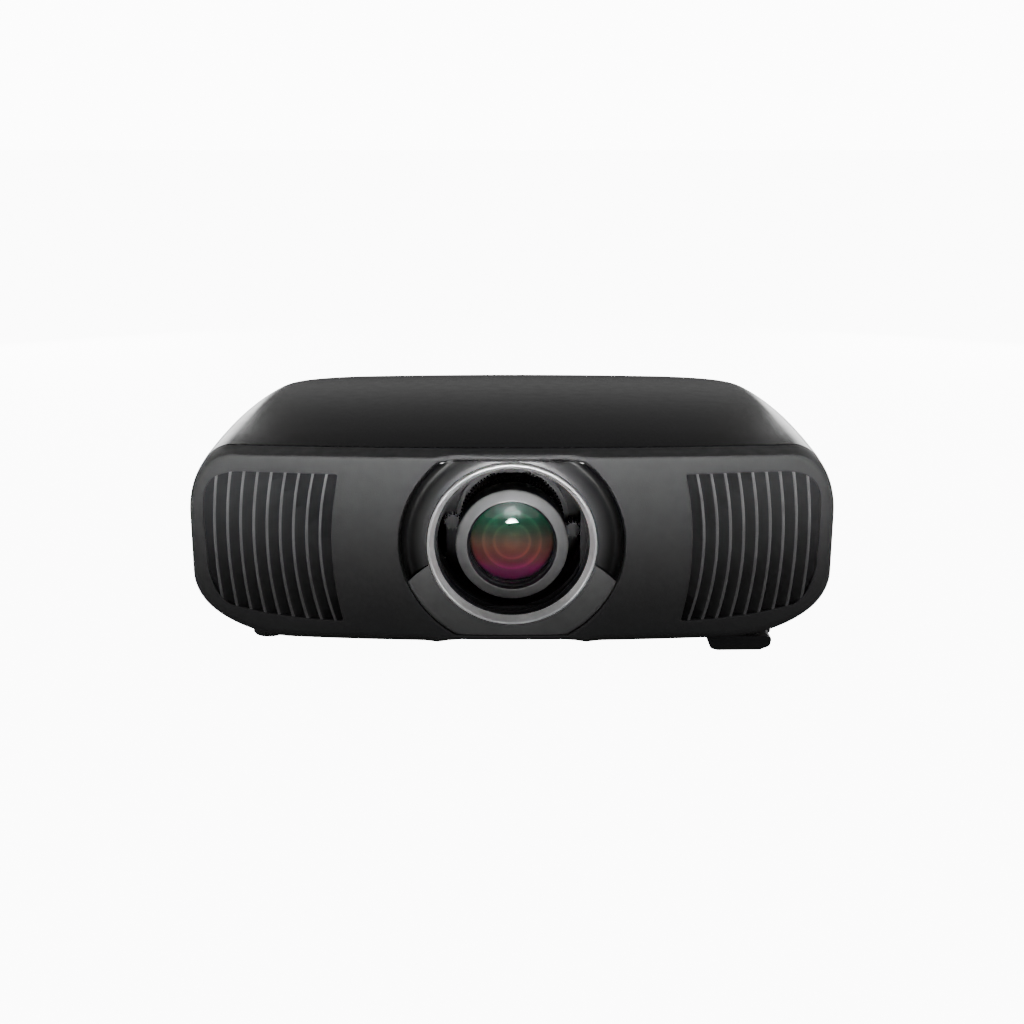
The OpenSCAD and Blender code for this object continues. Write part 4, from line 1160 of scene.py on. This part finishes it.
floor_mat = bpy.data.materials.new("studio floor")
floor_mat.use_nodes = True
tree = floor_mat.node_tree
shader = tree.nodes["Principled BSDF"]
shader.inputs["Roughness"].default_value = 0.7
shader.inputs["Specular IOR Level"].default_value = 0.1
tree.links.new(camera_switch(tree, 0.88, 0.30).outputs[2], shader.inputs["Base Color"])
tree.links.new(camera_switch(tree, 1, 0).outputs[2], shader.inputs["Emission Color"])
shader.inputs["Emission Strength"].default_value = 11.0
half = 30.0
corners = [(-half, -half, 0), (half, -half, 0), (half, half, 0), (-half, half, 0)]
floor_mesh = bpy.data.meshes.new("studio_floor")
floor_mesh.from_pydata(corners, [], [(0, 1, 2, 3)])
floor = bpy.data.objects.new("studio_floor", floor_mesh)
floor_mesh.materials.append(floor_mat)
bpy.context.scene.collection.objects.link(floor)

world = bpy.data.worlds.new("studio")
bpy.context.scene.world = world
world.use_nodes = True
tree = world.node_tree
coords = tree.nodes.new("ShaderNodeTexCoord")
split = tree.nodes.new("ShaderNodeSeparateXYZ")
tree.links.new(coords.outputs["Generated"], split.inputs["Vector"])

# a bright low band behind the object, which the glossy top reflects, and a dim room elsewhere
height = color_ramp(tree, split.outputs["Z"], (
    (0.0, 1.0), (0.05, 0.9), (0.17, 0.5), (0.40, 0.14), (0.60, 0.05), (1.0, 0.05)))
behind = color_ramp(tree, split.outputs["Y"], ((0.0, 0.02), (0.30, 0.05), (0.62, 0.6), (0.9, 1.0)))
band = product(tree, height, behind)
strength = tree.nodes.new("ShaderNodeVectorMath")
strength.operation = "MULTIPLY_ADD"
strength.inputs[1].default_value = (0.30, 0.30, 0.30)
strength.inputs[2].default_value = (0.02, 0.02, 0.02)
tree.links.new(band, strength.inputs[0])
shown = camera_switch(tree, 12, 0)
tree.links.new(strength.outputs[0], shown.inputs[6])
tree.links.new(shown.outputs[2], tree.nodes["Background"].inputs["Color"])


def aim(obj, location, target):
    """Puts a light in the scene, pointed at the target."""
    obj.location = location
    obj.rotation_euler = (Vector(target) - Vector(location)).to_track_quat("-Z", "Y").to_euler()
    bpy.context.scene.collection.objects.link(obj)


def softbox(name, location, target, width, height, power, spread_deg=180):
    """Rectangular area light; a narrow spread keeps it off what it isn't aimed at."""
    data = bpy.data.lights.new(name, "AREA")
    data.shape = "RECTANGLE"
    data.size, data.size_y = width, height
    data.energy = power
    data.spread = math.radians(spread_deg)
    obj = bpy.data.objects.new(name, data)
    obj.visible_camera = False
    aim(obj, location, target)


BODY = (0, 0, 0.1)
softbox("front_key", (0, -1.60, 0.365), (0, 0, 0.365), 1.6, 0.40, 7.6, spread_deg=12)
softbox("front_fill", (0, -2.3, 0.62), BODY, 1.8, 0.6, 4.5)
for name, x in (("left_side", -1.7), ("right_side", 1.7)):
    softbox(name, (x, -0.7, 0.5), BODY, 0.5, 0.9, 11)
for name, x in (("left_rear", -0.95), ("right_rear", 0.95)):
    softbox(name, (x, 1.7, 0.42), BODY, 0.7, 0.7, 7)
lens_light = bpy.data.lights.new("lens_light", "SPOT")
lens_light.energy = 16
lens_light.spot_size = math.radians(3.9)
lens_light.spot_blend = 0.25
lens_light.shadow_soft_size = 0.05
aim(bpy.data.objects.new("lens_light", lens_light), (0.75, -1.30, 0.85), (0, -0.19, LENS_Z * MM))

# ------------------------------------------------------------------ scene update

bpy.context.view_layer.update()
